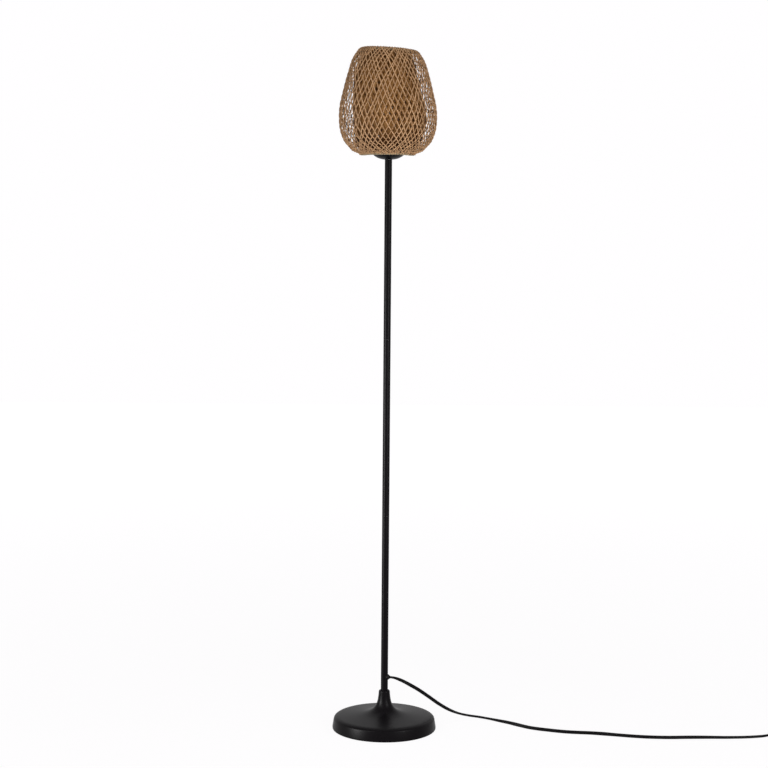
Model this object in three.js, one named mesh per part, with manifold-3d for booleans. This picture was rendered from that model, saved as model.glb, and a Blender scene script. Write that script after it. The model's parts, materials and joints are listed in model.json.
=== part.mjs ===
// A floor lamp: a double woven rattan shade on a slim black pole with a heavy round base.
// Millimetres, +Z up. The origin is the centre of the base's underside, on the floor.
// The lamp faces -Y, and its flat flex leaves the pole low down, towards +X.
import * as THREE from "three";
import { mergeVertices } from "three/addons/utils/BufferGeometryUtils.js";
import Module from "manifold-3d";

const wasm = await Module();
wasm.setup();

// Overall sizes
const LAMP_HEIGHT = 1500;
const TOUCH_GAP = 0.3; // left between pieces that rest on or against each other
const CUT_OVERRUN = 2; // how far a cutter reaches past what it cuts

// How many flat sides stand for a full circle
const WIDE_SIDES = 28;
const ROUND_SIDES = 24;
const SMALL_SIDES = 16;

// Base: a drawn steel cover over a cast iron weight, with a pad below
const BASE_RADIUS = 115.5;
const COVER_WALL = 1.6;
const COVER_LIFT = 0.6; // between the floor and the cover's hem
const HEM_WIDTH = 6;
const RIM_CORNER = 1.8;
const RIM_HEIGHT = 22; // where the side wall ends and the shoulder begins
const RIM_LEAN = 2.8; // how far the side wall leans in over its height
const SHOULDER_WIDTH = 11;
const SHOULDER_HEIGHT = 7;
const CONE_RISE = 4.4; // the plate's gentle rise from the shoulder to the trumpet
const TRUMPET_FOOT_RADIUS = 60;
const NECK_RADIUS = 12.5;
const NECK_HEIGHT = 86.6; // the top of the neck above the floor
const NECK_LIP = 2.8; // rounding of the neck's top edge
const NECK_WAIST = 6.6; // straight part of the neck below its lip
const PAD_CLEARANCE = 0.5;
const WEIGHT_CLEARANCE = 0.5;
const WEIGHT_EDGE_HEIGHT = 15.5;
const WEIGHT_BEVEL_WIDTH = 8;
const WEIGHT_BEVEL_HEIGHT = 6;
const BOSS_RADIUS = 12;
const BOSS_FOOT_RADIUS = 20;
const BOSS_HEIGHT = 8;
const NUT_POCKET_RADIUS = 17;
const NUT_POCKET_DEPTH = 11;

// Pole: three tubes screwed end to end on short threaded sleeves
const POLE_RADIUS = 7.5;
const POLE_WALL = 1.1;
const POLE_SECTIONS = 3;
const SLEEVE_LENGTH = 44;
const THREAD_RADIUS = 5.5;
const THREAD_CLEARANCE = 0.3;
const FLEX_WAY_RADIUS = 4.6; // the bore that the flex runs through
const STUD_DEPTH = 32; // how far the foot stud and the top nipple reach into the pole
const WASHER_RADIUS = 14;
const WASHER_THICKNESS = 2;
const FOOT_NUT_WIDTH = 17;
const FOOT_NUT_THICKNESS = 6;
const LOCKNUT_WIDTH = 15;
const LOCKNUT_THICKNESS = 3;

// Flat twin flex and the bush that it leaves the pole through
const FLEX_WIDTH = 8;
const FLEX_THICKNESS = 4.2;
const EXIT_HEIGHT = 116.5;
const EXIT_TURN = -15; // degrees from +X, seen from above
const BUSH_REACH = 5; // how far the bush stands out of the pole
const BUSH_RADIUS = 6.4;
const BUSH_SHANK_RADIUS = 5.2;
const BUSH_MOUTH_WALL = 0.9;
const FLEX_CLEARANCE = 0.3;
const LEAD_STEP_WIDTHS = 2.5; // a step of the free flex, counted in its widths

// Shade
const SHADE_RADIUS = 106.5;
const SHADE_HEIGHT = 228;
const WEAVE_THICKNESS = 2.4; // two crossing strips
const WEAVE_STRIPS = 22; // that run each way round the outer layer, each for two or three fine strips
const WEAVE_ROWS = 9; // rows of diamonds, counted up one strip
const STRIP_WIDTH = 6;
const WEAVE_RIM = 2.5; // the plain edge at the foot and the top of the outer layer
const HOOP_HEIGHT = 5.2;
const BOTTOM_HOOP_RADIUS = 62;
const TOP_HOOP_RADIUS = 56;
const WEAVE_LAP = 1.2; // between the top hoop's edge and the outer weave's end
const HOOP_BORE_RADIUS = 46;
const HOOP_CORNER = 1;
const INNER_BELLY_RADIUS = 80.5;
const INNER_FOOT_RADIUS = 55;
const INNER_TOP_RADIUS = 50.5;
const FRAME_WIRE = 3.2;
const FRAME_RING_RADIUS = 48.5;
const FRAME_ARMS = 3;
const WASHER_RING_WIDTH = 5;
const WASHER_RING_THICKNESS = 1.6;

// Shade cup and lamp holder
const CUP_RADIUS = 36;
const CUP_DEPTH = 11.7;
const CUP_FLAT_RADIUS = 9;
const CUP_WALL = 1.2;
const HOLDER_RADIUS = 19.5;
const HOLDER_WALL = 2.2;
const HOLDER_CAP_HEIGHT = 22;
const HOLDER_CAP_FOOT_RADIUS = 8.5;
const SKIRT_HEIGHT = 38;
const SKIRT_BORE_RADIUS = 15.6;
const FLANGE_RADIUS = 22;
const FLANGE_THICKNESS = 2.4;
const FLANGE_HEIGHT = 8; // the flange's underside above the skirt's foot
const RING_NUT_RADIUS = 24;
const RING_NUT_HEIGHT = 7;
const CORE_THICKNESS = 7;
const THREAD_SHELL_WALL = 0.9;
const THREAD_SHELL_HEIGHT = 24;
const CONTACT_THICKNESS = 0.6;
const CONTACT_WIDTH = 5;
const CONTACT_LENGTH = 9;

// Bulb
const BULB_RADIUS = 30;
const BULB_GLASS_HEIGHT = 83;
const BULB_NECK_RADIUS = 13.6;
const BULB_CAP_RADIUS = 13.2;
const BULB_CAP_HEIGHT = 25;
const BULB_TIP_RADIUS = 4.5;
const BULB_TIP_HEIGHT = 5;
const BULB_WALL = 1;
const BULB_CAP_WALL = 0.8;

// Foot switch
const SWITCH_X = 917;
const SWITCH_Y = -48;
const SWITCH_LENGTH = 74;
const SWITCH_WIDTH = 34;
const SWITCH_CORNER = 14;
const SWITCH_WALL = 2;
const SWITCH_TRAY_HEIGHT = 10;
const SWITCH_COVER_HEIGHT = 10;
const SWITCH_BEVEL = 2.4;
const SWITCH_FLEX_HEIGHT = 5;
const BUTTON_RADIUS = 11;
const BUTTON_TRAVEL = 3;
const BUTTON_PRESSED_HEIGHT = 1.5; // what still stands out when the button is down
const BUTTON_CLEARANCE = 0.4;
const BUTTON_FLANGE = 1.6;
const BUTTON_FLANGE_THICKNESS = 1.5;
const CONTACT_BLOCK_LENGTH = 24;
const CONTACT_BLOCK_WIDTH = 16;
const CONTACT_BLOCK_HEIGHT = 5;
const SPRING_RADIUS = 4;
const SPRING_WIRE = 0.8;
const SPRING_TURNS = 4;
const SLEEVE_BOOT_LENGTH = 12;
const BOOT_WALL = 1.6;

// Spare flex, wound on edge in two layers and tied
const COIL_X = 1008;
const COIL_OUTER_RADIUS = 50;
const COIL_PITCH = 6.5;
const COIL_TURNS = 4.5;
const COIL_LAYER_GAP = 0.7;
const COIL_CLIMB_SHARE = 0.4; // of the turn in which the coil climbs to its upper layer
const COIL_STEPS_PER_TURN = 24;
const TIE_THICKNESS = 0.8;
const TIE_WIDTH = 5;
const TIE_CLEARANCE = 0.7;

// Plug with two pins, lying flat behind the switch
const PLUG_X = 962;
const PLUG_WIDTH = 35;
const PLUG_THICKNESS = 13.7;
const PLUG_LENGTH = 36;
const PLUG_NECK_WIDTH = 10;
const PLUG_NECK_LENGTH = 14;
const PIN_RADIUS = 2;
const PIN_LENGTH = 19;
const PIN_SPACING = 19;

// The flex from the bush to the foot switch, as it lies in use.
// Each row is x, y, z in millimetres and the turn of the flat flex in degrees: 0 lies flat, 90 is on edge.
const LEAD_ROUTE = [
  [24, -5.8, 115.4, 12],
  [38, -5.2, 110, 45],
  [55, -1, 100.2, 75],
  [77.7, 10.8, 84, 88],
  [100.4, 26.3, 64.6, 88],
  [123.3, 42.2, 44.4, 78],
  [146, 55.5, 27.8, 45],
  [169, 65.2, 16.2, 12],
  [192, 71.2, 9.6, 4],
  [216, 71.6, 6.2, 3],
  [239, 66, 3.8, 3],
  [260.4, 53.6, 3, 20],
  [282, 35.9, 3.6, 45],
  [303, 15.4, 4.1, 75],
  [324, -2.2, 4.1, 90],
  [345.5, -13.6, 4.1, 90],
  [367, -22, 4.1, 90],
  [388.5, -29.8, 4.1, 90],
  [410, -35.4, 4.1, 90],
  [432, -38.6, 4.1, 90],
  [454, -41, 4.1, 90],
  [476, -45, 4.1, 85],
  [497.5, -49.7, 3.9, 60],
  [519, -54.7, 3.65, 48],
  [540, -60, 3.65, 50],
  [561, -64.4, 3.65, 50],
  [583, -67.7, 3.65, 48],
  [626, -69.8, 3.65, 50],
  [671, -67, 3.65, 48],
  [715, -64.6, 3.25, 30],
  [759, -63.2, 2.85, 18],
  [804, -58.8, 2.75, 14],
  [838, -50.9, 2.85, 8],
];

// Outlines as shares, chosen by eye: each row is a radius share and a height share
const OUTER_LOWER_SHARES = [
  [0, 0],
  [0.36, 0.027],
  [0.73, 0.104],
  [0.926, 0.22],
  [1, 0.344],
];
const OUTER_UPPER_SHARES = [
  [0.955, 0.451],
  [0.82, 0.604],
  [0.622, 0.76],
  [0.445, 0.895],
  [0.312, 0.953],
  [0.143, 0.991],
  [0, 1],
];
// How steeply the outer strips cross: a share of the outline's length, and the sideways run per climb
const WEAVE_SLANT_SHARES = [
  [0, 0.95],
  [0.12, 0.75],
  [0.3, 0.52],
  [0.6, 0.46],
  [0.85, 0.52],
  [1, 0.7],
];
const INNER_LOWER_SHARES = [
  [0, 0],
  [0.4, 0.15],
  [0.82, 0.28],
  [1, 0.42],
];
const INNER_UPPER_SHARES = [
  [0.84, 0.57],
  [0.58, 0.7],
  [0.3, 0.81],
  [0.08, 0.93],
  [0, 1],
];
const SOFT_EDGE_SHARE = 0.75; // roundness of a moulded section, where 1 is an oval
const SQUARE_EDGE_SHARE = 0.5;
const CUP_CURVE_SHARE = 2 / 3; // of the cup's radius, where its side begins to rise
const TIE_TURN_SHARE = 0.75; // of a turn, from the coil's start round to the tie
const TRUMPET_CURVE_SHARES = [
  [0.2, 0.08],
  [0.03, 0.53],
];

// Derived places
const POLE_BORE = POLE_RADIUS - POLE_WALL;
const SLEEVE_RADIUS = POLE_BORE - TOUCH_GAP;
const SHADE_FOOT = LAMP_HEIGHT - SHADE_HEIGHT;
const HEM_RADIUS = BASE_RADIUS - HEM_WIDTH;
const WEIGHT_FOOT = COVER_LIFT + COVER_WALL + TOUCH_GAP;
const WEIGHT_RADIUS = BASE_RADIUS - RIM_LEAN - COVER_WALL - WEIGHT_CLEARANCE;
const WEIGHT_TOP = WEIGHT_FOOT + WEIGHT_EDGE_HEIGHT + WEIGHT_BEVEL_HEIGHT;
const POLE_FOOT = WEIGHT_TOP + BOSS_HEIGHT + TOUCH_GAP;
const CUP_FOOT = SHADE_FOOT - CUP_DEPTH + FRAME_WIRE;
const POLE_TOP = CUP_FOOT - TOUCH_GAP;
const CAP_FOOT = CUP_FOOT + CUP_WALL + TOUCH_GAP;
const SKIRT_FOOT = CAP_FOOT + HOLDER_CAP_HEIGHT + TOUCH_GAP;
const CORE_FOOT = SKIRT_FOOT;
const CONTACT_FOOT = CORE_FOOT + CORE_THICKNESS + TOUCH_GAP;
const BULB_FOOT = CONTACT_FOOT + CONTACT_THICKNESS + TOUCH_GAP;
const BORE_WITH_THREAD = THREAD_RADIUS + THREAD_CLEARANCE;

const lamp = new THREE.Group();

// Names a mesh, gives it a finish and places it at a height in its group.
function place(group, name, geometry, material, height = 0) {
  const mesh = new THREE.Mesh(geometry, material);
  mesh.name = name;
  mesh.position.z = height;
  group.add(mesh);
  return mesh;
}

const finish = (color, roughness, metalness) => () =>
  new THREE.MeshStandardMaterial({ color, roughness, metalness });
const blackPowderCoat = finish(0x19181a, 0.5, 0.2);
const castIron = finish(0x3c3a38, 0.85, 0.6);
const zincPlate = finish(0xb9bbb8, 0.35, 0.9);
const brassPlate = finish(0xc8a556, 0.3, 0.9);
const blackPlastic = finish(0x141414, 0.55, 0);
const flexSheath = finish(0x0f0f10, 0.5, 0);
const rattan = finish(0xa98560, 0.75, 0);
const paleCeramic = finish(0xe8e4da, 0.4, 0);
const feltPad = finish(0x222222, 0.95, 0);
const opalGlass = finish(0xf3f1ea, 0.25, 0);

const at = (x, y) => new THREE.Vector2(x, y);

// Turns an outline of (radius, height) points round the Z axis.
function revolve(outline, sides) {
  return new THREE.LatheGeometry(outline, sides).rotateX(Math.PI / 2);
}

// A plain tube or ring, standing on z = 0.
function ring(innerRadius, outerRadius, height, sides) {
  const outline = [
    at(innerRadius, 0),
    at(outerRadius, 0),
    at(outerRadius, height),
    at(innerRadius, height),
    at(innerRadius, 0),
  ];
  return revolve(outline, sides);
}

// A solid disc, standing on z = 0.
function disc(radius, height, sides) {
  return revolve([at(0, 0), at(radius, 0), at(radius, height), at(0, height)], sides);
}

// Closes an open outline into a wall of even thickness on its left-hand side.
function thicken(outer, wall) {
  const inner = outer.map((point, i) => {
    const before = outer[Math.max(i - 1, 0)];
    const after = outer[Math.min(i + 1, outer.length - 1)];
    const arriving = i > 0 ? point.clone().sub(before).normalize() : after.clone().sub(point).normalize();
    const leaving = i < outer.length - 1 ? after.clone().sub(point).normalize() : arriving.clone();
    const along = arriving.clone().add(leaving).normalize();
    const mitre = wall / Math.max(along.dot(arriving), 0.5);
    return at(point.x - along.y * mitre, point.y + along.x * mitre);
  });
  return [...outer, ...inner.reverse(), outer[0].clone()];
}

// Makes a solid that can be cut and joined from a geometry.
function solidFrom(geometry) {
  const bare = geometry.clone();
  bare.deleteAttribute("normal");
  bare.deleteAttribute("uv");
  const merged = mergeVertices(bare, 1e-4);
  return new wasm.Manifold(
    new wasm.Mesh({
      numProp: 3,
      vertProperties: merged.attributes.position.array,
      triVerts: new Uint32Array(merged.index.array),
    }),
  );
}

// Makes a geometry from a solid that has been cut or joined.
function geometryFrom(solid) {
  const mesh = solid.getMesh();
  const geometry = new THREE.BufferGeometry();
  geometry.setAttribute("position", new THREE.BufferAttribute(mesh.vertProperties, 3));
  geometry.setIndex(new THREE.BufferAttribute(mesh.triVerts, 1));
  return geometry;
}

const cutFrom = (body, ...tools) =>
  geometryFrom(tools.reduce((rest, tool) => rest.subtract(solidFrom(tool)), solidFrom(body)));
const joined = (...bodies) => geometryFrom(bodies.map(solidFrom).reduce((whole, body) => whole.add(body)));

// Joins rings of points into one closed skin, with a flat fan over each end.
function loft(rings) {
  const count = rings[0].length;
  const positions = rings.flat().flatMap((point) => point.toArray());
  const faces = [];
  for (let r = 0; r < rings.length - 1; r++) {
    for (let i = 0; i < count; i++) {
      const a = r * count + i;
      const b = r * count + ((i + 1) % count);
      faces.push(a, b, b + count, a, b + count, a + count);
    }
  }
  const last = (rings.length - 1) * count;
  for (let i = 1; i < count - 1; i++) {
    faces.push(0, i + 1, i);
    faces.push(last, last + i, last + i + 1);
  }
  const geometry = new THREE.BufferGeometry();
  geometry.setAttribute("position", new THREE.Float32BufferAttribute(positions, 3));
  geometry.setIndex(faces);
  return geometry;
}

// A rounded section across the X axis: a roundness of 1 is an oval, and smaller shares are squarer.
function ovalAcross(x, halfWidth, halfHeight, sides, roundness = 1) {
  const points = [];
  for (let i = 0; i < sides; i++) {
    const angle = (i / sides) * 2 * Math.PI;
    const c = Math.cos(angle);
    const s = Math.sin(angle);
    points.push(
      new THREE.Vector3(
        x,
        halfWidth * Math.sign(c) * Math.abs(c) ** roundness,
        halfHeight * Math.sign(s) * Math.abs(s) ** roundness,
      ),
    );
  }
  return points;
}

function roundedRectangle(length, width, corner) {
  const x = length / 2 - corner;
  const y = width / 2 - corner;
  const shape = new THREE.Shape();
  shape.absarc(x, y, corner, 0, Math.PI / 2, false);
  shape.absarc(-x, y, corner, Math.PI / 2, Math.PI, false);
  shape.absarc(-x, -y, corner, Math.PI, 1.5 * Math.PI, false);
  shape.absarc(x, -y, corner, 1.5 * Math.PI, 2 * Math.PI, false);
  shape.closePath();
  return shape;
}

// A hexagon nut with a round hole, standing on z = 0.
function nut(acrossFlats, boreRadius, thickness) {
  const shape = new THREE.Shape();
  const corner = acrossFlats / Math.sqrt(3);
  for (let i = 0; i < 6; i++) {
    const angle = (i * Math.PI) / 3;
    const go = i === 0 ? "moveTo" : "lineTo";
    shape[go](corner * Math.cos(angle), corner * Math.sin(angle));
  }
  shape.closePath();
  const hole = new THREE.Path();
  hole.absarc(0, 0, boreRadius, 0, 2 * Math.PI, true);
  shape.holes.push(hole);
  return new THREE.ExtrudeGeometry(shape, {
    depth: thickness,
    bevelEnabled: false,
    curveSegments: SMALL_SIDES / 2,
  });
}

// A curve that carries a flat section: wideAt says which way its wide side lies at each place.
class FlatFlexCurve extends THREE.CatmullRomCurve3 {
  constructor(points, wideAt) {
    super(points, false, "centripetal");
    this.wideAt = wideAt;
    this.arcLengthDivisions = points.length * 12;
  }

  computeFrenetFrames(segments) {
    const tangents = [];
    const normals = [];
    const binormals = [];
    for (let i = 0; i <= segments; i++) {
      const tangent = this.getTangentAt(i / segments).normalize();
      const wide = this.wideAt(this.getUtoTmapping(i / segments), tangent);
      wide.addScaledVector(tangent, -wide.dot(tangent)).normalize();
      tangents.push(tangent);
      normals.push(wide);
      binormals.push(tangent.clone().cross(wide));
    }
    return { tangents, normals, binormals };
  }
}

// The flex's flat section with round edges, as 8 points, or 6 for the turns of a coil.
function flexSection(sides) {
  const halfWidth = FLEX_WIDTH / 2;
  const halfThickness = FLEX_THICKNESS / 2;
  const flat = halfWidth - halfThickness;
  const corner = halfThickness * Math.SQRT1_2;
  const points =
    sides === 6
      ? [at(halfWidth, 0), at(flat, halfThickness), at(-flat, halfThickness)]
      : [at(halfWidth, 0), at(flat + corner, corner), at(flat, halfThickness), at(-flat, halfThickness),
         at(-flat - corner, corner)];
  const shape = new THREE.Shape();
  shape.setFromPoints([...points, ...points.map((p) => p.clone().negate())]);
  return shape;
}

function flexAlong(curve, steps, sides) {
  return new THREE.ExtrudeGeometry(flexSection(sides), {
    steps,
    extrudePath: curve,
    curveSegments: 1,
    bevelEnabled: false,
  });
}

// The way the wide side lies, for a flex that is turned by so many degrees about its own run.
function turnedFlat(tangent, degrees) {
  const level = new THREE.Vector3(0, 0, 1).cross(tangent).normalize();
  return level.applyAxisAngle(tangent, (degrees * Math.PI) / 180);
}

// A flex through rows of x, y, z and turn.
function flexThrough(rows) {
  const points = rows.map(([x, y, z]) => new THREE.Vector3(x, y, z));
  const turns = rows.map((row) => row[3]);
  return new FlatFlexCurve(points, (t, tangent) => {
    const place = Math.min(Math.max(t, 0), 1) * (turns.length - 1);
    const row = Math.min(Math.floor(place), turns.length - 2);
    return turnedFlat(tangent, THREE.MathUtils.lerp(turns[row], turns[row + 1], place - row));
  });
}

// Base

function coverOutline() {
  const shoulder = BASE_RADIUS - RIM_LEAN;
  const plateEdge = shoulder - SHOULDER_WIDTH;
  const plateHeight = RIM_HEIGHT + SHOULDER_HEIGHT;
  const trumpetFoot = plateHeight + CONE_RISE;
  const waist = NECK_HEIGHT - NECK_WAIST;
  const [first, second] = TRUMPET_CURVE_SHARES.map(([radiusShare, heightShare]) =>
    at(
      THREE.MathUtils.lerp(NECK_RADIUS, TRUMPET_FOOT_RADIUS, radiusShare),
      THREE.MathUtils.lerp(trumpetFoot, waist, heightShare),
    ),
  );
  const path = new THREE.Path();
  path.moveTo(HEM_RADIUS, COVER_LIFT);
  path.lineTo(BASE_RADIUS - RIM_CORNER, COVER_LIFT);
  path.quadraticCurveTo(BASE_RADIUS, COVER_LIFT, BASE_RADIUS, COVER_LIFT + RIM_CORNER);
  path.lineTo(shoulder, RIM_HEIGHT);
  path.quadraticCurveTo(shoulder - RIM_CORNER / 2, plateHeight - RIM_CORNER, plateEdge, plateHeight);
  path.lineTo(TRUMPET_FOOT_RADIUS, trumpetFoot);
  path.bezierCurveTo(first.x, first.y, second.x, second.y, NECK_RADIUS, waist);
  path.lineTo(NECK_RADIUS, NECK_HEIGHT - NECK_LIP);
  path.quadraticCurveTo(NECK_RADIUS, NECK_HEIGHT, NECK_RADIUS - NECK_LIP, NECK_HEIGHT);
  path.lineTo(POLE_RADIUS + TOUCH_GAP, NECK_HEIGHT);
  return path.getPoints(2);
}

function weightOutline() {
  const pocketTop = WEIGHT_FOOT + NUT_POCKET_DEPTH;
  const edgeTop = WEIGHT_FOOT + WEIGHT_EDGE_HEIGHT;
  const bossTop = WEIGHT_TOP + BOSS_HEIGHT;
  return [
    at(BORE_WITH_THREAD, pocketTop),
    at(NUT_POCKET_RADIUS, pocketTop),
    at(NUT_POCKET_RADIUS, WEIGHT_FOOT),
    at(WEIGHT_RADIUS, WEIGHT_FOOT),
    at(WEIGHT_RADIUS, edgeTop),
    at(WEIGHT_RADIUS - WEIGHT_BEVEL_WIDTH, WEIGHT_TOP),
    at(BOSS_FOOT_RADIUS, WEIGHT_TOP),
    at(BOSS_RADIUS, bossTop),
    at(BORE_WITH_THREAD, bossTop),
    at(BORE_WITH_THREAD, pocketTop),
  ];
}

function addBase() {
  const base = new THREE.Group();
  const padThickness = WEIGHT_FOOT - TOUCH_GAP;
  const padRadius = HEM_RADIUS - PAD_CLEARANCE;
  const pocketTop = WEIGHT_FOOT + NUT_POCKET_DEPTH;
  const washerFoot = pocketTop - TOUCH_GAP - WASHER_THICKNESS;
  const nutFoot = washerFoot - TOUCH_GAP - FOOT_NUT_THICKNESS;
  place(base, "base_cover", revolve(thicken(coverOutline(), COVER_WALL), WIDE_SIDES), blackPowderCoat());
  place(base, "base_weight", revolve(weightOutline(), WIDE_SIDES), castIron());
  place(
    base,
    "base_pad",
    disc(padRadius, padThickness, WIDE_SIDES),
    feltPad(),
  );
  const washer = ring(BORE_WITH_THREAD, WASHER_RADIUS, WASHER_THICKNESS, SMALL_SIDES);
  place(base, "foot_washer", washer, zincPlate(), washerFoot);
  place(base, "foot_nut", nut(FOOT_NUT_WIDTH, BORE_WITH_THREAD, FOOT_NUT_THICKNESS), zincPlate(), nutFoot);
  place(base, "foot_stud", footStud(nutFoot), zincPlate());
  lamp.add(base);
}

// A threaded stud with a thicker head that is fixed in the pole's foot.
function footStud(nutFoot) {
  return revolve(
    [
      at(0, nutFoot),
      at(THREAD_RADIUS, nutFoot),
      at(THREAD_RADIUS, POLE_FOOT),
      at(SLEEVE_RADIUS, POLE_FOOT),
      at(SLEEVE_RADIUS, POLE_FOOT + STUD_DEPTH),
      at(0, POLE_FOOT + STUD_DEPTH),
    ],
    SMALL_SIDES,
  );
}

// Pole

function poleJointHeights() {
  const visible = (POLE_TOP - NECK_HEIGHT) / POLE_SECTIONS;
  const heights = [];
  for (let i = 1; i < POLE_SECTIONS; i++) {
    heights.push(NECK_HEIGHT + i * visible);
  }
  return heights;
}

// The direction in which the flex leaves the pole.
const exitTurn = (EXIT_TURN * Math.PI) / 180;

function bushHoleCutter() {
  const radius = BUSH_SHANK_RADIUS + TOUCH_GAP;
  return new THREE.CylinderGeometry(radius, radius, POLE_RADIUS + CUT_OVERRUN, SMALL_SIDES)
    .rotateZ(Math.PI / 2)
    .translate((POLE_RADIUS + CUT_OVERRUN) / 2, 0, 0)
    .rotateZ(exitTurn);
}

function addPole() {
  const pole = new THREE.Group();
  const names = ["pole_lower", "pole_middle", "pole_upper"];
  const joints = poleJointHeights();
  const feet = [POLE_FOOT, ...joints.map((height) => height + TOUCH_GAP / 2)];
  const tops = [...joints.map((height) => height - TOUCH_GAP / 2), POLE_TOP];
  feet.forEach((foot, i) => {
    let tube = ring(POLE_BORE, POLE_RADIUS, tops[i] - foot, ROUND_SIDES);
    if (i === 0) {
      tube = cutFrom(tube, bushHoleCutter().translate(0, 0, EXIT_HEIGHT - foot));
    }
    place(pole, names[i] ?? `pole_section_${i + 1}`, tube, blackPowderCoat(), foot);
  });
  joints.forEach((height, i) => {
    const sleeve = ring(FLEX_WAY_RADIUS, SLEEVE_RADIUS, SLEEVE_LENGTH, SMALL_SIDES);
    place(pole, `pole_sleeve_${i + 1}`, sleeve, zincPlate(), height - SLEEVE_LENGTH / 2);
  });
  place(pole, "top_nipple", topNipple(), zincPlate());
  lamp.add(pole);
}

// A threaded tube that is fixed in the pole's top and carries the cup and the lamp holder.
function topNipple() {
  const top = CAP_FOOT + HOLDER_WALL + TOUCH_GAP + LOCKNUT_THICKNESS + CUP_WALL;
  return revolve(
    [
      at(FLEX_WAY_RADIUS, POLE_TOP - STUD_DEPTH),
      at(SLEEVE_RADIUS, POLE_TOP - STUD_DEPTH),
      at(SLEEVE_RADIUS, POLE_TOP),
      at(THREAD_RADIUS, POLE_TOP),
      at(THREAD_RADIUS, top),
      at(FLEX_WAY_RADIUS, top),
      at(FLEX_WAY_RADIUS, POLE_TOP - STUD_DEPTH),
    ],
    SMALL_SIDES,
  );
}

// Flex and bush at the pole

// A tapered bush: a round foot that saddles the pole, and a flat mouth that grips the flex.
function cordBush() {
  const tip = POLE_RADIUS + BUSH_REACH;
  const mouthWidth = FLEX_WIDTH / 2 + BUSH_MOUTH_WALL;
  const mouthHeight = FLEX_THICKNESS / 2 + BUSH_MOUTH_WALL;
  const shankFoot = POLE_BORE - POLE_WALL;
  const halfway = (foot, mouth) => (foot + mouth) / 2;
  const head = loft([
    ovalAcross(shankFoot, BUSH_RADIUS, BUSH_RADIUS, SMALL_SIDES),
    ovalAcross(POLE_RADIUS + POLE_WALL, BUSH_RADIUS, BUSH_RADIUS, SMALL_SIDES),
    ovalAcross(
      halfway(POLE_RADIUS, tip),
      halfway(BUSH_RADIUS, mouthWidth),
      halfway(BUSH_RADIUS, mouthHeight),
      SMALL_SIDES,
    ),
    ovalAcross(tip, mouthWidth, mouthHeight, SMALL_SIDES),
  ]);
  const saddleHeight = 4 * BUSH_RADIUS;
  const saddle = disc(POLE_RADIUS + TOUCH_GAP, saddleHeight, ROUND_SIDES).translate(0, 0, -saddleHeight / 2);
  const shankLength = POLE_RADIUS + POLE_WALL - shankFoot;
  const shank = new THREE.CylinderGeometry(BUSH_SHANK_RADIUS, BUSH_SHANK_RADIUS, shankLength, SMALL_SIDES)
    .rotateZ(Math.PI / 2)
    .translate(shankFoot + shankLength / 2, 0, 0);
  const slot = new THREE.BoxGeometry(
    2 * (tip + CUT_OVERRUN),
    FLEX_WIDTH + 2 * FLEX_CLEARANCE,
    FLEX_THICKNESS + 2 * FLEX_CLEARANCE,
  );
  return cutFrom(joined(cutFrom(head, saddle), shank), slot).rotateZ(exitTurn);
}

// The flex inside: in through the bush, round a bend and up the pole into the lamp holder.
function innerFlex() {
  const out = new THREE.Vector3(Math.cos(exitTurn), Math.sin(exitTurn), 0);
  const across = new THREE.Vector3(-out.y, out.x, 0);
  const bend = FLEX_THICKNESS + TOUCH_GAP;
  const along = (distance, height) => out.clone().multiplyScalar(distance).setZ(height);
  const tip = POLE_RADIUS + BUSH_REACH;
  const straightUp = EXIT_HEIGHT + 2 * bend;
  const top = CAP_FOOT + HOLDER_CAP_HEIGHT - TOUCH_GAP;
  const points = [
    along(tip, EXIT_HEIGHT),
    along(tip - bend, EXIT_HEIGHT),
    along(2 * bend, EXIT_HEIGHT),
    along(bend, EXIT_HEIGHT),
    along((1 - Math.SQRT1_2) * bend, EXIT_HEIGHT + (1 - Math.SQRT1_2) * bend),
    along(0, EXIT_HEIGHT + bend),
    along(0, straightUp),
    along(0, straightUp + (top - straightUp) / 2),
    along(0, top),
  ];
  const curve = new THREE.CurvePath();
  for (let i = 1; i < points.length; i++) {
    curve.add(new THREE.LineCurve3(points[i - 1], points[i]));
  }
  return stationsAlong(points, across);
}

// A flex through exact stations, with its wide side always across one direction.
function stationsAlong(points, across) {
  const section = flexSection(8).getPoints();
  const rings = points.map((point, i) => {
    const before = points[Math.max(i - 1, 0)];
    const after = points[Math.min(i + 1, points.length - 1)];
    const tangent = after.clone().sub(before).normalize();
    const thin = tangent.clone().cross(across);
    return section.map((p) => point.clone().addScaledVector(across, p.x).addScaledVector(thin, p.y));
  });
  return loft(rings);
}

function addFlexAtPole() {
  place(lamp, "cord_bush", cordBush(), blackPlastic(), EXIT_HEIGHT);
  place(lamp, "inner_flex", innerFlex(), flexSheath());
}

// Shade

// An outline from a foot, out to a belly and in to a top.
function bellied(lower, upper, footRadius, bellyRadius, topRadius, foot, top) {
  const toPoint = (endRadius) => ([radiusShare, heightShare]) =>
    at(
      THREE.MathUtils.lerp(endRadius, bellyRadius, radiusShare),
      THREE.MathUtils.lerp(foot, top, heightShare),
    );
  return [...lower.map(toPoint(footRadius)), ...upper.map(toPoint(topRadius))];
}

// Closes an open skin of faces into a wall: the skin, the same skin inside turned over, and a rim
// on each free edge.
function walledSkin(outer, inner, faces) {
  const count = outer.length;
  const edges = new Set();
  const triangles = [];
  for (const face of faces) {
    face.forEach((a, i) => edges.add(`${a} ${face[(i + 1) % face.length]}`));
    for (let i = 1; i < face.length - 1; i++) {
      triangles.push(face[0], face[i], face[i + 1]);
      triangles.push(count + face[0], count + face[i + 1], count + face[i]);
    }
  }
  for (const edge of edges) {
    const [a, b] = edge.split(" ").map(Number);
    if (!edges.has(`${b} ${a}`)) {
      triangles.push(b, a, count + a, b, count + a, count + b);
    }
  }
  const geometry = new THREE.BufferGeometry();
  geometry.setFromPoints([...outer, ...inner]);
  geometry.setIndex(triangles);
  return geometry;
}

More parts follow.
